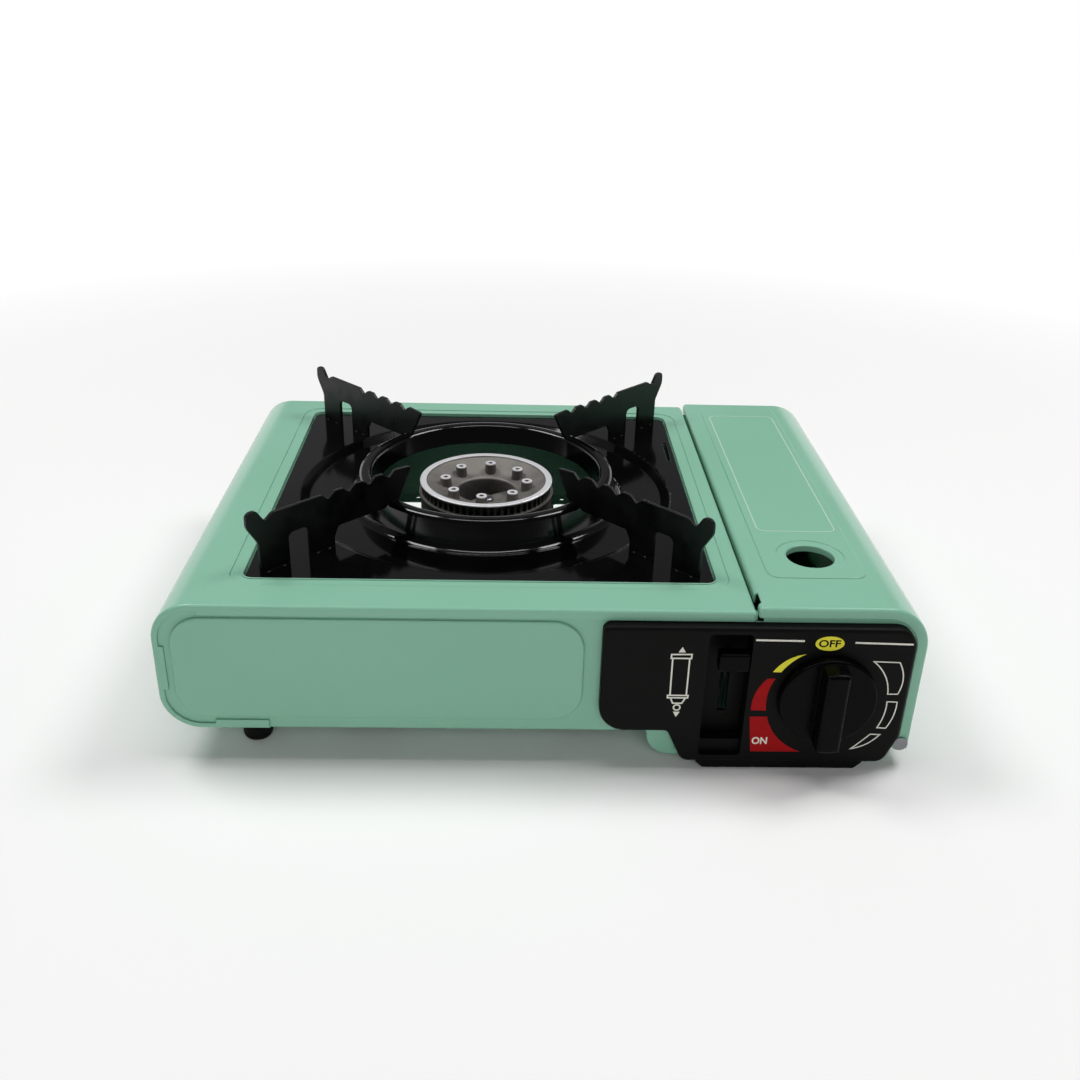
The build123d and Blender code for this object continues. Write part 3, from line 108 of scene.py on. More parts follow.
def coat(name, tones, gloss, cloud_mm, skin_mm, depth_mm, edge_mm, detail=4.0, **sockets):
    """Material of two tones and two roughness values that drift together, a skin and soft edges."""
    material = bpy.data.materials.new(name)
    material.use_nodes = True
    tree = material.node_tree
    shader = tree.nodes["Principled BSDF"]
    for socket, value in sockets.items():
        shader.inputs[socket.replace("_", " ")].default_value = value
    place = add(tree, "TexCoord").outputs["Object"]
    cloud = add(tree, "TexNoise", {"Vector": place, "Scale": per_mm(cloud_mm), "Detail": detail})
    spread = {"Value": cloud.outputs["Fac"], "From Min": cloud_low, "From Max": cloud_high}
    drift = add(tree, "MapRange", spread).outputs["Result"]
    low, high = map(linear, tones)
    tone = add(tree, "Mix", {SHARE: drift, COLOUR_1: low, COLOUR_2: high}, data_type="RGBA")
    rough = add(tree, "MapRange", {"Value": drift, "To Min": gloss[0], "To Max": gloss[1]})
    skin = add(tree, "TexNoise", {"Vector": place, "Scale": per_mm(skin_mm), "Detail": detail / 2})
    edge = add(tree, "Bevel", {"Radius": edge_mm * MM}, samples=edge_samples)
    height = {"Height": skin.outputs["Fac"], "Distance": depth_mm * MM, "Strength": skin_strength}
    bump = add(tree, "Bump", {**height, "Normal": edge.outputs["Normal"]})
    tree.links.new(tone.outputs[MIXED_COLOUR], shader.inputs["Base Color"])
    tree.links.new(rough.outputs["Result"], shader.inputs["Roughness"])
    tree.links.new(bump.outputs["Normal"], shader.inputs["Normal"])
    return material


print("recipe ready:", coat.__name__)

# %% [markdown]
# ## Mint stoving enamel on sheet steel
# The body is pressed from thin steel, sprayed with a pale mint enamel and baked. Up close such paint is not
# flat: it dries with a faint orange peel, about a millimetre and a half from crest to crest, and its colour
# drifts a little over a hand's width. A picture could paint both, but it would need a map of the surface.
# Noise in space needs none, and here it is smooth, without finer detail.

# %% Mint stoving enamel
mint = coat(
    "mint_stoving_enamel",
    tones=("#83B89E", "#87BBA2"),
    gloss=(0.15, 0.21),
    cloud_mm=90,
    skin_mm=1.6,
    depth_mm=0.01,
    edge_mm=0.7,
    detail=0.0,
    IOR=1.38,
)
print("painted:", mint.name)

# %% [markdown]
# ## Black vitreous enamel
# The drip pan is dipped in glass frit and fired. Fired enamel is a hard black gloss that pulls into slow
# waves over the steel, so lamps show in it as slightly bent streaks. The waves are a few hundredths of a
# millimetre deep, so they are a bump and not sculpted. The pan supports get a thinner, duller coat, because
# flames and pots rub on them.

# %% Black vitreous enamel
enamel = coat(
    "black_vitreous_enamel",
    tones=("#020203", "#060607"),
    gloss=(0.07, 0.13),
    cloud_mm=30,
    skin_mm=14,
    depth_mm=0.06,
    edge_mm=0.6,
    IOR=1.5,
)
support_coat = coat(
    "thin_support_enamel",
    tones=("#030303", "#070707"),
    gloss=(0.26, 0.46),
    cloud_mm=9,
    skin_mm=2.5,
    depth_mm=0.06,
    edge_mm=0.45,
    Specular_IOR_Level=0.3,
)
print("enamelled:", enamel.name, support_coat.name)

# %% [markdown]
# ## Moulded ABS
# The control panel is black ABS from a spark-eroded mould: a dry, even grain. The real grain is about a
# tenth of a millimetre, too fine to show, so it is drawn at half a millimetre. Knob and lever tab come from
# a polished mould and are shinier, with faint flow marks. A usual specular level of a half would put a grey
# veil on the black, which the photograph doesn't have, so it is far lower here.

# %% Moulded ABS
panel_abs = coat(
    "grained_black_abs",
    tones=("#0A0A0A", "#0E0E0D"),
    gloss=(0.40, 0.54),
    cloud_mm=18,
    skin_mm=0.5,
    depth_mm=0.02,
    edge_mm=0.4,
    Specular_IOR_Level=0.08,
)
knob_abs = coat(
    "polished_black_abs",
    tones=("#030303", "#060606"),
    gloss=(0.22, 0.34),
    cloud_mm=12,
    skin_mm=12,
    depth_mm=0.03,
    edge_mm=0.7,
    Specular_IOR_Level=0.06,
)
print("moulded:", panel_abs.name, knob_abs.name)

# %% [markdown]
# ## Sand-cast burner
# Bowl, head and mixing tube are cast aluminium: grey, grainy, a little brown where the flame has been. The
# grain of the sand could be modelled, but a bump of about a millimetre looks the same at this distance.

# %% Sand-cast burner
cast = coat(
    "sand_cast_aluminium",
    tones=("#7C7975", "#8E8B86"),
    gloss=(0.60, 0.66),
    cloud_mm=7,
    skin_mm=0.9,
    depth_mm=0.2,
    edge_mm=0.3,
    Metallic=1.0,
)
print("cast:", cast.name)

# %% [markdown]
# ## Skimmed burner top
# The top ring and the tops of the posts are skimmed on a lathe, which leaves them bright with fine rings.
# Two materials on one mesh would need a cut in it. Instead height decides: what lies within about half a
# millimetre of the top face is mixed towards bright metal whose gloss changes ring by ring. Real tool marks
# are finer than they are drawn here, or they would not show. They scatter light, so the skimmed face is
# whiter than a mirror of the grey room would be: its metallic value is lowered.

# %% Skimmed burner top
head_low, head_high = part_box("burner_head")
head_mid, head_top = (head_low + head_high) / 2, head_high.z
skim_start, skim_full = head_top - 0.75 * MM, head_top - 0.55 * MM
skim_tone, skim_metallic, ring_gloss = "#EDEDEF", 0.55, (0.40, 0.50)
ring_mm = 0.7
wave_unit = math.tau / 20  # rings of the wave pattern are this far apart at a scale of one
tree = cast.node_tree
shader = tree.nodes["Principled BSDF"]
tone, rough = (shader.inputs[name].links[0].from_socket for name in ("Base Color", "Roughness"))
place = add(tree, "TexCoord").outputs["Object"]
up = add(tree, "SeparateXYZ", {"Vector": place}).outputs["Z"]
skim_range = {"Value": up, "From Min": skim_start, "From Max": skim_full}
skim = add(tree, "MapRange", skim_range).outputs["Result"]
two_tones = {SHARE: skim, COLOUR_1: tone, COLOUR_2: linear(skim_tone)}
bright = add(tree, "Mix", two_tones, data_type="RGBA").outputs[MIXED_COLOUR]
centred = add(tree, "Mapping", {"Vector": place, "Location": (-head_mid.x, -head_mid.y, 0.0)})
turning = add(
    tree,
    "TexWave",
    {"Vector": centred.outputs["Vector"], "Scale": per_mm(ring_mm) * wave_unit},
    wave_type="RINGS",
    rings_direction="Z",
)
ring_range = {"Value": turning.outputs["Fac"], "To Min": ring_gloss[0], "To Max": ring_gloss[1]}
rings = add(tree, "MapRange", ring_range).outputs["Result"]
two_gloss = {SHARE: skim, NUMBER_1: rough, NUMBER_2: rings}
polish = add(tree, "Mix", two_gloss, data_type="FLOAT").outputs[MIXED_NUMBER]
haze = add(tree, "MapRange", {"Value": skim, "To Min": 1.0, "To Max": skim_metallic}).outputs["Result"]
tree.links.new(haze, shader.inputs["Metallic"])
tree.links.new(bright, shader.inputs["Base Color"])
tree.links.new(polish, shader.inputs["Roughness"])
print("burner top at", round(head_top / MM, 2), "mm")

# %% [markdown]
# ## Plated steel, die casting and brass
# What sits inside is plain hardware: zinc-plated steel with a faint cloudy spangle, a die-cast zinc
# regulator with a fine skin, and turned brass for jet, gland and spindle. All are metals, so their colour is
# their reflection and the index of refraction stays at its default. Spangle could be drawn as crystals, but
# on thin plating it is so faint that soft clouds are enough.

# %% Plated steel, die casting and brass
zinc = coat(
    "zinc_plated_steel",
    tones=("#9A9DA0", "#AEB1B4"),
    gloss=(0.30, 0.44),
    cloud_mm=6,
    skin_mm=0.8,
    depth_mm=0.01,
    edge_mm=0.2,
    Metallic=1.0,
)
die_cast = coat(
    "die_cast_zinc",
    tones=("#85878A", "#9A9C9E"),
    gloss=(0.42, 0.56),
    cloud_mm=5,
    skin_mm=0.7,
    depth_mm=0.03,
    edge_mm=0.2,
    Metallic=1.0,
)
brass = coat(
    "turned_brass",
    tones=("#BF9B52", "#D3B26A"),
    gloss=(0.22, 0.34),
    cloud_mm=4,
    skin_mm=0.5,
    depth_mm=0.01,
    edge_mm=0.2,
    Metallic=1.0,
)
print("metals:", zinc.name, die_cast.name, brass.name)

# %% [markdown]
# ## Rubber, ceramic and pale plastic
# The feet are moulded rubber, dull and dusty. The electrode stands in glazed ceramic. Igniter and cam are
# unpainted off-white plastic. One finish in three colours could do, but their gloss tells them apart. None
# is a metal, so each also gets its own index of refraction or specular level.

# %% Rubber, ceramic and pale plastic
rubber = coat(
    "moulded_foot_rubber",
    tones=("#060606", "#0C0C0B"),
    gloss=(0.66, 0.84),
    cloud_mm=6,
    skin_mm=0.7,
    depth_mm=0.03,
    edge_mm=0.3,
    Specular_IOR_Level=0.25,
)
ceramic = coat(
    "glazed_ceramic",
    tones=("#E2DED5", "#ECE9E2"),
    gloss=(0.12, 0.20),
    cloud_mm=8,
    skin_mm=3,
    depth_mm=0.02,
    edge_mm=0.3,
    IOR=1.54,
)
pale_abs = coat(
    "off_white_plastic",
    tones=("#CDC8BB", "#D8D4C8"),
    gloss=(0.36, 0.48),
    cloud_mm=9,
    skin_mm=0.8,
    depth_mm=0.02,
    edge_mm=0.3,
    IOR=1.5,
)
print("rubber, ceramic, plastic:", rubber.name, ceramic.name, pale_abs.name)

# %% [markdown]
# ## Finishes on the solids
# The record of the part names a material slot for every node. Each could be dressed by hand, but one table
# from slot to finish forgets none. Three nodes differ from their slot: knob and lever tab are the polished
# ABS, and the hinge rivets are as dull as a casting.

# %% Finishes on the solids
finish_of_slot = {
    "mint_paint": mint,
    "black_enamel": enamel,
    "support_enamel": support_coat,
    "black_plastic": panel_abs,
    "cast_aluminium": cast,
    "zinc_steel": zinc,
    "regulator_zinc": die_cast,
    "jet_brass": brass,
    "rubber": rubber,
    "ceramic": ceramic,
    "igniter_plastic": pale_abs,
}
for part in frame["record"]["subparts"]:
    solid = nodes[part["node"]]
    solid.data.materials.clear()
    solid.data.materials.append(finish_of_slot[part["material_slot"]])
for name in ("control_knob", "lever_tab"):
    nodes[name].data.materials[0] = knob_abs
nodes["lid_hinge_pins"].data.materials[0] = die_cast

# %% [markdown]
# ## Printing inks
# Marks are screen printed on the panel and the lid: a film of ink about a twentieth of a millimetre thick,
# with slightly uneven cover. A picture laid over the panel would blur at the edges of the marks, so each
# mark is a film of its own. Each colour is the same kind of finish with its own pair of close tones.

# %% Printing inks
ink_tones = {
    "white": ("#DEDCCF", "#E8E6DB"),
    "yellow": ("#E5DD3D", "#ECE54A"),
    "red": ("#96090C", "#A20C10"),
    "black": ("#0B0B08", "#10100C"),
    "pale_mint": ("#A3C3B4", "#AECABD"),
}
inks = {
    colour: coat(
        colour + "_screen_ink",
        tones,
        gloss=(0.42, 0.56),
        cloud_mm=3,
        skin_mm=0.5,
        depth_mm=0.01,
        edge_mm=0.05,
        Specular_IOR_Level=0.1,
    )
    for colour, tones in ink_tones.items()
}
print("inks:", sorted(inks))

# %% [markdown]
# ## From arrays to a piece
# Every new piece takes the same last steps. Points that fall together are merged, faces are turned outwards,
# one finish goes on, and the piece is tied to the moving body that carries it. They could be done piece by
# piece, but one function forgets none of them.

# %% From arrays to a piece
same_spot = 1e-7  # points closer than this, in metres, are one


def finished_piece(name, mesh, finish, body):
    """Object of a mesh, its doubles merged and its normals outwards; it rides on a body."""
    shape = bmesh.new()
    shape.from_mesh(mesh)
    bmesh.ops.remove_doubles(shape, verts=shape.verts, dist=same_spot)
    bmesh.ops.recalc_face_normals(shape, faces=shape.faces)
    shape.to_mesh(mesh)
    shape.free()
    piece = bpy.data.objects.new(name, mesh)
    bpy.context.scene.collection.objects.link(piece)
    mesh.materials.clear()
    mesh.materials.append(finish)
    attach(piece, body)
    return piece


def mesh_piece(name, points, faces, finish, body):
    """Finished piece from arrays of points and faces."""
    mesh = bpy.data.meshes.new(name)
    mesh.from_pydata(points.reshape(-1, 3).tolist(), [], faces.tolist())
    return finished_piece(name, mesh, finish, body)


def quads(index):
    """Four-cornered faces of a grid of vertex numbers: each with its neighbours a row and a column on."""
    corners = [index[:-1, :-1], index[1:, :-1], index[1:, 1:], index[:-1, 1:]]
    return np.stack(corners, -1).reshape(-1, 4)


print("points merge within", same_spot / MM, "mm")

# %% [markdown]
# ## Ink films
# A printed mark is a patch between two edges. Take one edge as points along it, the other edge as as many
# points, and blend straight across: that is a surface of two parameters, along and across. A flat patch
# would do for a picture, but a real film has a thickness. So it gets a front, a back just off the carrier,
# and walls round the rim, and its mesh is closed.

# %% Ink films
panel_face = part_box("control_panel")[0].y
film_near, film_far = 0.01 * MM, 0.06 * MM


def on_panel(flat, lift):
    """Panel drawing (x, z in millimetres) to space, lifted off the front face."""
    x, z = flat[..., 0] * MM, flat[..., 1] * MM
    return np.stack([x, np.full(x.shape, panel_face - lift), z], -1)


def film_faces(rows, columns, closed):
    """Faces of front, back and rim of a film whose two sheets are grids of the same size."""
    front = np.arange(rows * columns).reshape(rows, columns)
    if closed:
        front = np.vstack([front, front[:1]])
    back = front + rows * columns
    rims = [(front[:, 0], back[:, 0]), (back[:, -1], front[:, -1])]
    if not closed:
        rims += [(back[0], front[0]), (front[-1], back[-1])]
    walls = [quads(np.stack(rim, 1)) for rim in rims]
    return np.vstack([quads(front), quads(back)[:, ::-1], *walls])


def patch_between(edge_a, edge_b, across=3):
    """Grid between two edges: (1 - v) times the first plus v times the second."""
    v = np.linspace(0, 1, across)[None, :, None]
    return (1 - v) * np.asarray(edge_a)[:, None, :] + v * np.asarray(edge_b)[:, None, :]


def ink_film(name, grids, carrier, ink, body, closed=False):
    """One printed mark made of one or more grids."""
    points, faces, start = [], [], 0
    for grid in grids:
        sheets = np.stack([carrier(grid, film_far), carrier(grid, film_near)])
        points.append(sheets.reshape(-1, 3))
        faces.append(film_faces(*grid.shape[:2], closed) + start)
        start += len(points[-1])
    return mesh_piece(name, np.vstack(points), np.vstack(faces), inks[ink], body)


def panel_print(name, grids, ink, closed=False):
    """Printed mark on the control panel."""
    return ink_film(name, grids, on_panel, ink, "body", closed)


print("panel face at", round(panel_face / MM, 2), "mm")

# %% [markdown]
# ## Lines of ink
# A printed line could be a thin pipe along a path, but ink lies flat. So it is a patch too, with its edges
# half a width to each side of the path. At a corner both edges move along the mitre, which halves the
# corner, and the line keeps its width.

# %% Lines of ink
mitre_limit = 0.4  # keeps the tip of a sharp corner short


def line_grid(path, width, closed=False):
    """Ribbon along a path: each point moved half a width to both sides, along the mitre of its corner."""
    path = np.asarray(path, float)
    if closed:
        before, after = path - np.roll(path, 1, 0), np.roll(path, -1, 0) - path
    else:
        legs = np.diff(path, axis=0)
        before, after = np.vstack([legs[:1], legs]), np.vstack([legs, legs[-1:]])
    before = before / np.linalg.norm(before, axis=1, keepdims=True)
    after = after / np.linalg.norm(after, axis=1, keepdims=True)
    mitre = before + after
    mitre /= np.linalg.norm(mitre, axis=1, keepdims=True)
    side = np.stack([-mitre[:, 1], mitre[:, 0]], -1)
    turn = np.clip(np.sum(mitre * after, axis=1, keepdims=True), mitre_limit, 1)
    return patch_between(path - side * width / 2 / turn, path + side * width / 2 / turn, 2)


print("a corner reaches out at most", 1 / mitre_limit, "half widths")

# %% [markdown]
# ## Marks round the knob
# Round the knob run a yellow crescent and two red blocks that grow with the flame, and a rule stands on
# each side of the OFF oval. The inner edges follow circles about the knob. They could be drawn point by
# point, but in polar form a start and an end are enough, each an angle in degrees and a radius in
# millimetres.

# %% Marks round the knob
knob_low, knob_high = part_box("control_knob")
knob_mid = np.array([(knob_low.x + knob_high.x) / 2, (knob_low.z + knob_high.z) / 2]) / MM
steps = 25
corner = int(steps * 0.55)  # points on the left edge of the full block; the rest run along its foot
rule_w = 0.9


def knob_arc(turn_from, radius_from, turn_to, radius_to, bow=0.0):
    """Edge about the knob: angle and radius run evenly from start to end, with an optional bow."""
    t = np.linspace(0, 1, steps)
    turn = np.radians(turn_from + (turn_to - turn_from) * t)
    radius = radius_from + (radius_to - radius_from) * t + bow * np.sin(np.pi * t)
    return knob_mid + radius[:, None] * np.stack([np.cos(turn), np.sin(turn)], -1)


def straight(start, end):
    """Edge of even points from start to end."""
    return np.linspace(start, end, steps)


crescent = patch_between(knob_arc(149.2, 25.2, 118.1, 25.3), knob_arc(152.9, 28.5, 118.1, 25.4, bow=0.6))
panel_print("flame_crescent_print", [crescent], "yellow")
mid_block = patch_between(knob_arc(158.2, 25.6, 196.4, 27.2), knob_arc(160.9, 29.0, 192.8, 33.9, bow=0.5))
rim_left = np.linspace((94.0, 29.5), (96.3, 10.2), corner)
rim_low = np.linspace((96.3, 10.2), (119.2, 10.2), steps - corner + 1)[1:]
full_block = patch_between(knob_arc(203.3, 27.5, 255.2, 31.3, bow=0.2), np.vstack([rim_left, rim_low]))
panel_print("full_flame_print", [mid_block, full_block], "red")
rule_ends = [(92.5, 69.9), (113.9, 69.7)], [(136.2, 69.1), (162.0, 68.5)]
panel_print("panel_rules_print", [line_grid(ends, rule_w) for ends in rule_ends], "white")
print("solid marks round", knob_mid.round(1))

# %% [markdown]
# ## Outlined blocks
# On the far side of the knob the low end of the flame is shown by three blocks that are only outlined. They
# could be cut out of filled blocks, but a line needs no cutting: each is one closed path of straight and
# round runs about the knob, and a line of even width follows it.

# %% Outlined blocks
outline_w = 0.55


def closed_path(*runs):
    """Runs joined to a loop: each gives up its last point for the next run's first."""
    return np.vstack([run[:-1] for run in runs])


big = closed_path(
    straight((145.9, 59.5), (157.5, 59.1)),
    knob_arc(31.5, 35.6, 3.4, 32.1, bow=0.9),
    straight((159.2, 42.4), (154.7, 42.4)),
    knob_arc(3.9, 27.6, 45.4, 26.7, bow=0.3),
)
medium = closed_path(
    straight((155.1, 38.3), (159.7, 38.1)),
    knob_arc(355.8, 32.6, 330.6, 34.0, bow=0.2),
    straight((156.8, 23.8), (152.7, 24.0)),
    knob_arc(327.1, 30.4, 355.5, 28.0),
)
small = closed_path(
    straight((150.3, 20.4), (154.7, 20.2)),
    knob_arc(323.6, 34.2, 298.0, 32.2, bow=0.6),
    knob_arc(298.0, 32.2, 319.0, 30.6, bow=-0.4),
)
blocks = [line_grid(path, outline_w, closed=True) for path in (big, medium, small)]
panel_print("low_flame_print", blocks, "white", closed=True)
print("outlined blocks of", [len(path) for path in (big, medium, small)], "points")

# %% [markdown]
# ## The OFF oval
# The OFF position is a yellow oval. A fan of triangles would meet in one point, so a square grid is pressed
# into a disc instead, each coordinate shortened by the square of the other.


# %% The OFF oval
def oval_grid(middle, width, height, count=17):
    """Square grid pressed into an ellipse: x times root(1 - y squared / 2), and the same for y."""
    u, v = np.meshgrid(np.linspace(-1, 1, count), np.linspace(-1, 1, count), indexing="ij")
    disc = np.stack([u * np.sqrt(1 - v**2 / 2) * width / 2, v * np.sqrt(1 - u**2 / 2) * height / 2], -1)
    return np.asarray(middle) + disc


oval = oval_grid((125.1, 68.5), 12.8, 7.3)
panel_print("off_oval_print", [oval], "yellow")
print("oval of", oval.shape[0], "by", oval.shape[1], "points")

# %% [markdown]
# ## Switch words
# Two plain words name the ends of the knob's turn. Letters could be drawn as outlines, but Blender's text
# already has them. It is emboldened a little, made a mesh, and then placed by arrays, just above the height
# of an ink film, because one word lies on the oval.

# %% Switch words
letter_depth, letter_bold = 0.5, 0.024  # in the font's own units, before scaling
word_lift = 0.07 * MM


def word_film(name, word, middle, width, height, ink):
    """Letters of a given width and height in millimetres, standing on the panel face."""
    curve = bpy.data.curves.new(name, "FONT")
    curve.body, curve.align_x, curve.extrude, curve.offset = word, "CENTER", letter_depth, letter_bold
    sample = bpy.data.objects.new(name + "_sample", curve)
    bpy.context.scene.collection.objects.link(sample)
    bpy.context.view_layer.update()
    mesh = bpy.data.meshes.new_from_object(sample.evaluated_get(bpy.context.evaluated_depsgraph_get()))
    bpy.data.objects.remove(sample)
    flat = np.empty(len(mesh.vertices) * 3)
    mesh.vertices.foreach_get("co", flat)
    flat = flat.reshape(-1, 3)
    low, high = flat.min(0), flat.max(0)
    unit = (flat - (low + high) / 2) / (high - low)
    depth = word_lift + (unit[:, 2] + 0.5) * (film_far - film_near)
    x, z = (middle[0] + unit[:, 0] * width) * MM, (middle[1] + unit[:, 1] * height) * MM
    mesh.vertices.foreach_set("co", np.stack([x, panel_face - depth, z], -1).ravel())
    mesh.name = name
    return finished_piece(name, mesh, inks[ink], "body")


words = [
    word_film("off_word_print", "OFF", (125.05, 68.55), 9.6, 3.7, "black"),
    word_film("on_word_print", "ON", (99.9, 16.3), 7.0, 3.9, "white"),
]
print("switch words of", [len(word.data.polygons) for word in words], "faces")

# %% [markdown]
# ## Cartridge sign beside the lever
# Next to the lever is a line drawing of the gas cartridge, with an arrow up and an arrow down for the two
# ends of the lever's travel. Cap, collar and valve ring are closed lines. The sides of the can and its
# shoulder are open lines between them. One long line would cross itself, so these end where the next line
# starts, and no two films lie in each other.

# %% Cartridge sign beside the lever
sign_w = 0.7
valve_mid, valve_r = np.array([60.65, 34.1]), 1.45
cap = [(56.2, 60.1), (65.1, 60.1), (65.2, 62.2), (56.3, 62.1)]
collar = [(56.1, 39.3), (65.1, 39.3), (65.2, 40.6), (56.1, 40.6)]
ring_turn = np.linspace(0, 2 * np.pi, 25)[:-1]
valve_ring = valve_mid + valve_r * np.stack([np.cos(ring_turn), np.sin(ring_turn)], -1)
closed_lines = [line_grid(loop, sign_w, closed=True) for loop in (cap, collar, valve_ring)]
panel_print("cartridge_ends_print", closed_lines, "white", closed=True)
sides = [[(56.9, 59.7), (57.1, 41.0)], [(64.4, 59.7), (64.4, 41.0)]]
shoulder = [(57.6, 38.9), (58.6, 36.4), (62.7, 36.4), (64.0, 38.9)]
open_lines = [line_grid(path, sign_w) for path in (*sides, shoulder)]
panel_print("cartridge_can_print", open_lines, "white")
arrows = [
    patch_between([(59.2, 63.2), (60.75, 65.9)], [(62.4, 63.2), (60.85, 65.9)]),
    patch_between([(59.1, 31.8), (60.6, 29.0)], [(62.2, 31.8), (60.7, 29.0)]),
]
panel_print("lever_arrows_print", arrows, "white")
print("cartridge sign of", len(closed_lines) + len(open_lines), "lines")

# %% [markdown]
# ## Printed frame on the lid
# The lid carries a thin pale frame line with rounded corners. It is one closed line: four quarter circles,
# joined by straight runs. The later quarters are the first one, turned by right angles.

# %% Printed frame on the lid
lid_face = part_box("cartridge_lid")[1].z
frame_low, frame_high, frame_r, frame_w = (107.0, -44.6), (145.6, 115.4), 4.0, 0.8


def on_lid(flat, lift):
    """Lid drawing (x, y in millimetres) to space, lifted off the top face."""
    x, y = flat[..., 0] * MM, flat[..., 1] * MM
    return np.stack([x, y, np.full(x.shape, lid_face + lift)], -1)


def rounded_loop(low, high, radius, turn_steps=9):
    """Closed rectangle with quarter circles at its corners, anticlockwise."""
    turn = np.linspace(0, np.pi / 2, turn_steps)
    quarter = radius * np.stack([np.cos(turn), np.sin(turn)], -1)
    spin = np.array([[0.0, -1.0], [1.0, 0.0]])
    inner_low, inner_high = np.asarray(low) + radius, np.asarray(high) - radius
    corners = [
        inner_high + quarter,
        (inner_low[0], inner_high[1]) + quarter @ spin.T,
        inner_low + quarter @ spin.T @ spin.T,
        (inner_high[0], inner_low[1]) + quarter @ spin,
    ]
    return np.vstack(corners)


frame_loop = rounded_loop(frame_low, frame_high, frame_r)
frame_line = line_grid(frame_loop, frame_w, closed=True)
ink_film("lid_frame_print", [frame_line], on_lid, "pale_mint", "lid", closed=True)
print("lid frame of", len(frame_loop), "points, lid face at", round(lid_face / MM, 2), "mm")

# %% [markdown]
# ## Weld beads under the supports
# The four supports are spot welded to the pan before both are enamelled, which leaves a small bead at each
# foot on both sides of the plate. A bead could be sculpted, but it is so small that a squashed sphere will
# do: latitude and longitude on a grid, stretched along the plate. All beads are one mesh.

# %% Weld beads under the supports
pan_low, pan_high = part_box("drip_pan")
rest_low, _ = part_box("pan_support_rear_right")
pan_spot = np.array([(pan_low.x + pan_high.x) / 2, (pan_low.y + pan_high.y) / 2, rest_low.z])
north, around = np.linspace(-np.pi / 2, np.pi / 2, 9), np.linspace(0, 2 * np.pi, 17)
latitude, longitude = np.meshgrid(north, around, indexing="ij")
parallel, rise = np.cos(latitude), np.sin(latitude)
ball = np.stack([parallel * np.cos(longitude), parallel * np.sin(longitude), rise], -1)
ball_faces = quads(np.arange(latitude.size).reshape(latitude.shape))
bead_half = np.array([1.3, 0.5, 0.4]) * MM
bead_out, bead_reaches = 1.25 * MM, np.array([104.0, 110.5, 129.5, 138.0]) * MM
support_turns = np.radians([45, 135, 225, 315])
bead_points, bead_faces = [], []
for support_turn in support_turns:
    along = np.array([np.cos(support_turn), np.sin(support_turn), 0.0])
    across = np.array([-along[1], along[0], 0.0])
    axes = np.stack([along, across, [0.0, 0.0, 1.0]])
    for bead_reach in bead_reaches:
        for side in (-1, 1):
            foot = along * bead_reach + across * side * bead_out
            bead_faces.append(ball_faces + len(bead_points) * latitude.size)
            bead_points.append((ball * bead_half).reshape(-1, 3) @ axes + foot + pan_spot)
beads = mesh_piece(
    "support_weld_beads",
    np.vstack(bead_points),
    np.vstack(bead_faces),
    support_coat,
    "pan",
)
beads.data.polygons.foreach_set("use_smooth", np.ones(len(beads.data.polygons), bool))
print(len(bead_points), "beads")

# %% [markdown]
# ## Hem of the lid
# The lower edge of the lid is turned in, as a sheet edge is that hands pass. Without it, the lit floor
# would show through the finger hole. A bend could be carried along the edge, but only its flat strip is ever
# seen: two sheets of four corners and their rims, in millimetres.

# %% Hem of the lid
hem_reach, hem_ends, hem_levels = (166.2, 170.4), (-116.5, 135.5), (8.5, 9.1)
hem_z, hem_y, hem_x = np.meshgrid(hem_levels, hem_ends, hem_reach, indexing="ij")
hem_points = np.stack([hem_x, hem_y, hem_z], -1) * MM
hem = mesh_piece("lid_lower_hem", hem_points, film_faces(2, 2, False), mint, "lid")
print("hem of", len(hem.data.polygons), "faces")

# %% [markdown]
# ## Floor
# The stove stands on a pale floor that keeps its shadow. Further away a lit floor would turn grey towards
# the horizon, so from a quarter of a metre outwards it fades into plain white for the rays that are seen:
# straight from the camera, by reflection or through glass. For the light itself it stays an ordinary floor.

# %% Floor
floor_half, floor_drop = 60.0, 0.2 * MM
fade_from, fade_to = 0.25, 0.9
floor_mesh = bpy.data.meshes.new("pale_floor")
unit_corners = np.array([(-1, -1, 0), (1, -1, 0), (1, 1, 0), (-1, 1, 0)])
floor_corners = unit_corners * floor_half - (0, 0, floor_drop)
floor_mesh.from_pydata(floor_corners.tolist(), [], [(0, 1, 2, 3)])
floor = bpy.data.objects.new("pale_floor", floor_mesh)
bpy.context.scene.collection.objects.link(floor)
floor_finish = coat(
    "pale_studio_floor",
    tones=("#F7F7F6", "#F8F8F7"),
    gloss=(0.9, 0.9),
    cloud_mm=400,
    skin_mm=5,
    depth_mm=0.0,
    edge_mm=0.0,
    IOR=1.1,
)
tree = floor_finish.node_tree
place = add(tree, "TexCoord").outputs["Object"]
reach = add(tree, "VectorMath", {0: place}, operation="LENGTH").outputs["Value"]
fade_range = {"Value": reach, "From Min": fade_from, "From Max": fade_to}
far = add(tree, "MapRange", fade_range).outputs["Result"]
ray = add(tree, "LightPath").outputs
bent_rays = {0: ray["Is Glossy Ray"], 1: ray["Is Transmission Ray"]}
bent = add(tree, "Math", bent_rays, operation="MAXIMUM").outputs[0]
seen = add(tree, "Math", {0: ray["Is Camera Ray"], 1: bent}, operation="MAXIMUM").outputs[0]
white_share = add(tree, "Math", {0: far, 1: seen}, operation="MULTIPLY").outputs[0]
white = add(tree, "Emission", {"Strength": 1.0}).outputs[0]
lit = tree.nodes["Principled BSDF"].outputs[0]
ground = add(tree, "MixShader", {0: white_share, 1: lit, 2: white}).outputs[0]
tree.links.new(ground, tree.nodes["Material Output"].inputs["Surface"])
floor_mesh.materials.append(floor_finish)
print("floor", 2 * floor_half, "m wide")

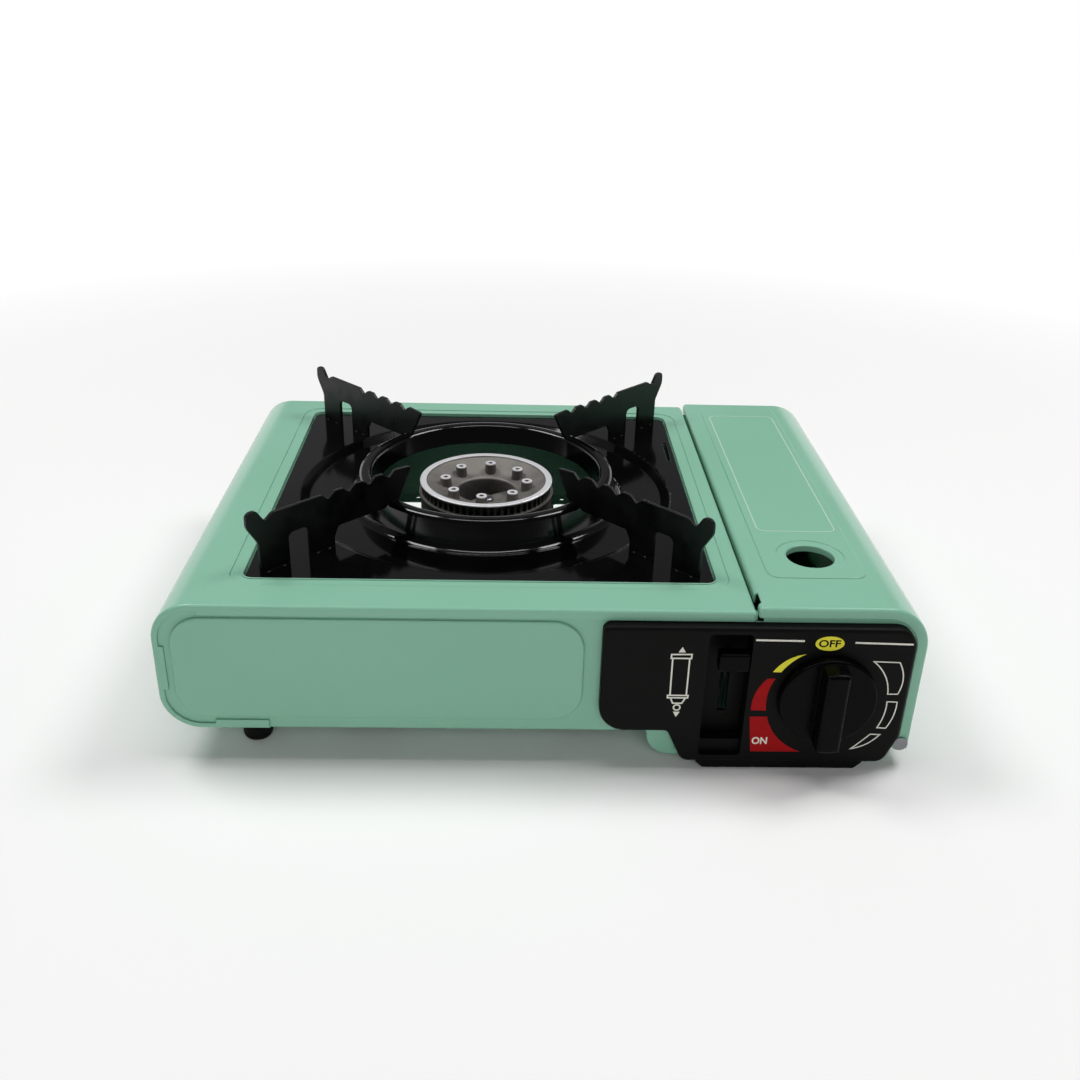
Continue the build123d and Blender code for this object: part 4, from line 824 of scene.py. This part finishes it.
# %% [markdown]
# ## Sky
# The black enamel is a mirror, so what it shows is the room. A photo studio is dim apart from its lamps:
# grey walls, lighter on the left, and a darker ceiling. Behind the stove the floor's white paper runs up
# the wall a little, as a studio backdrop does. A picture of a studio could light the scene, but then no tone
# could be tuned alone. So the direction of a ray decides, and each blend has its own range of one part of
# that direction. The room behind the camera is darker still, so the front of the enamelled ring stays black.
# That holds for reflections alone, so that the light on the front stays. The camera itself sees white all
# round, so that the stove stands on a plain ground from every side.

# %% Sky
left_wall, right_wall, ceiling, dark_end, paper_white = map(
    linear, ("#7C7C7E", "#606062", "#525254", "#464648", "#FFFFFF")
)
blends = {
    "right": ("X", -0.3, 0.3),
    "high": ("Z", 0.4, 0.8),
    "low": ("Z", 0.3, 0.18),
    "behind": ("Y", -0.1, 0.4),
    "front": ("Y", 0.1, -0.3),
}
world = bpy.data.worlds.new("studio_sky")
bpy.context.scene.world = world
world.use_nodes = True
tree = world.node_tree
way = add(tree, "SeparateXYZ", {"Vector": add(tree, "TexCoord").outputs["Generated"]}).outputs
blend = {}
for name, (axis, none_at, full_at) in blends.items():
    span = {"Value": way[axis], "From Min": none_at, "From Max": full_at}
    blend[name] = add(tree, "MapRange", span).outputs["Result"]
ray = add(tree, "LightPath").outputs
dim = add(tree, "Math", {0: blend["front"], 1: ray["Is Glossy Ray"]}, operation="MULTIPLY").outputs[0]
paper = add(tree, "Math", {0: blend["low"], 1: blend["behind"]}, operation="MULTIPLY").outputs[0]
clear_rays = {0: ray["Is Camera Ray"], 1: ray["Is Transmission Ray"]}
seen = add(tree, "Math", clear_rays, operation="MAXIMUM").outputs[0]
white_share = add(tree, "Math", {0: paper, 1: seen}, operation="MAXIMUM").outputs[0]
room = left_wall
layers = [
    (blend["right"], right_wall),
    (blend["high"], ceiling),
    (dim, dark_end),
    (white_share, paper_white),
]
for share, tone in layers:
    pair = {SHARE: share, COLOUR_1: room, COLOUR_2: tone}
    room = add(tree, "Mix", pair, data_type="RGBA").outputs[MIXED_COLOUR]
tree.links.new(room, tree.nodes["Background"].inputs["Color"])
print("sky of", len(layers) + 1, "tones")

# %% [markdown]
# ## Lamps
# Two soft boxes above left and right put the paired streaks on the enamel, a strip across the middle draws
# the bright line along the front edges, and a weak wide fill keeps the front from going dark. Soft boxes are
# area lamps; small ones would throw hard shadows into the pan. The fill is left out of reflections, because
# the upright walls of the enamelled ring would show it as a grey square.

# %% Lamps
stove_middle = np.array([0.0, 0.0, 0.05])


def soft_lamp(name, place, width, depth, power):
    """Area lamp in metres and watts, turned from its place to the middle of the stove."""
    lamp = bpy.data.lights.new(name, "AREA")
    lamp.shape, lamp.size, lamp.size_y, lamp.energy = "RECTANGLE", width, depth, power
    carrier = bpy.data.objects.new(name, lamp)
    bpy.context.scene.collection.objects.link(carrier)
    carrier.location = place
    aim = stove_middle - place
    tilt = math.atan2(math.hypot(aim[0], aim[1]), -aim[2])
    carrier.rotation_euler = (tilt, 0.0, math.atan2(aim[1], aim[0]) - math.pi / 2)
    return carrier


lamps = [
    soft_lamp("left_box", (-0.75, 0.25, 1.35), width=0.55, depth=0.55, power=8.5),
    soft_lamp("right_box", (0.75, 0.25, 1.35), width=0.55, depth=0.55, power=9.0),
    soft_lamp("middle_strip", (0.0, -0.1, 1.5), width=0.9, depth=0.25, power=4.8),
    soft_lamp("front_fill", (0.1, -1.5, 0.75), width=1.0, depth=1.0, power=6.2),
]
lamps[-1].visible_glossy = False
print(len(lamps), "lamps")

# %% [markdown]
# ## Camera
# The camera was fitted to the photograph: its place, its turn to the right, its tilt and its small roll, and
# the focal length in pixels on a 1080 pixel frame. It could be turned by Euler angles, but their order is
# easily mistaken, so the three axes of the camera are worked out from the angles and set as a matrix.

# %% Camera
yaw, pitch, roll = np.radians([1.791, -26.788, 1.588])
eye = np.array([-15.795, -543.393, 328.796]) * MM
focal_px, frame_px, sensor_mm = 1134.651, 1080, 36.0
ahead = np.array([np.sin(yaw) * np.cos(pitch), np.cos(yaw) * np.cos(pitch), np.sin(pitch)])
level_right = np.array([np.cos(yaw), -np.sin(yaw), 0.0])
upright = np.cross(level_right, ahead)
right = np.cos(roll) * level_right + np.sin(roll) * upright
top = -np.sin(roll) * level_right + np.cos(roll) * upright
pose = np.eye(4)
pose[:3, 0], pose[:3, 1], pose[:3, 2], pose[:3, 3] = right, top, -ahead, eye
lens = bpy.data.cameras.new("photo_camera")
lens.sensor_fit, lens.sensor_width = "HORIZONTAL", sensor_mm
lens.lens = focal_px * sensor_mm / frame_px
lens.clip_start, lens.clip_end = 0.01, 100.0
camera = bpy.data.objects.new("photo_camera", lens)
bpy.context.scene.collection.objects.link(camera)
camera.matrix_world = pose.T.tolist()
bpy.context.scene.camera = camera
bpy.context.scene.view_settings.view_transform = "Standard"
print("lens", round(lens.lens, 2), "mm")
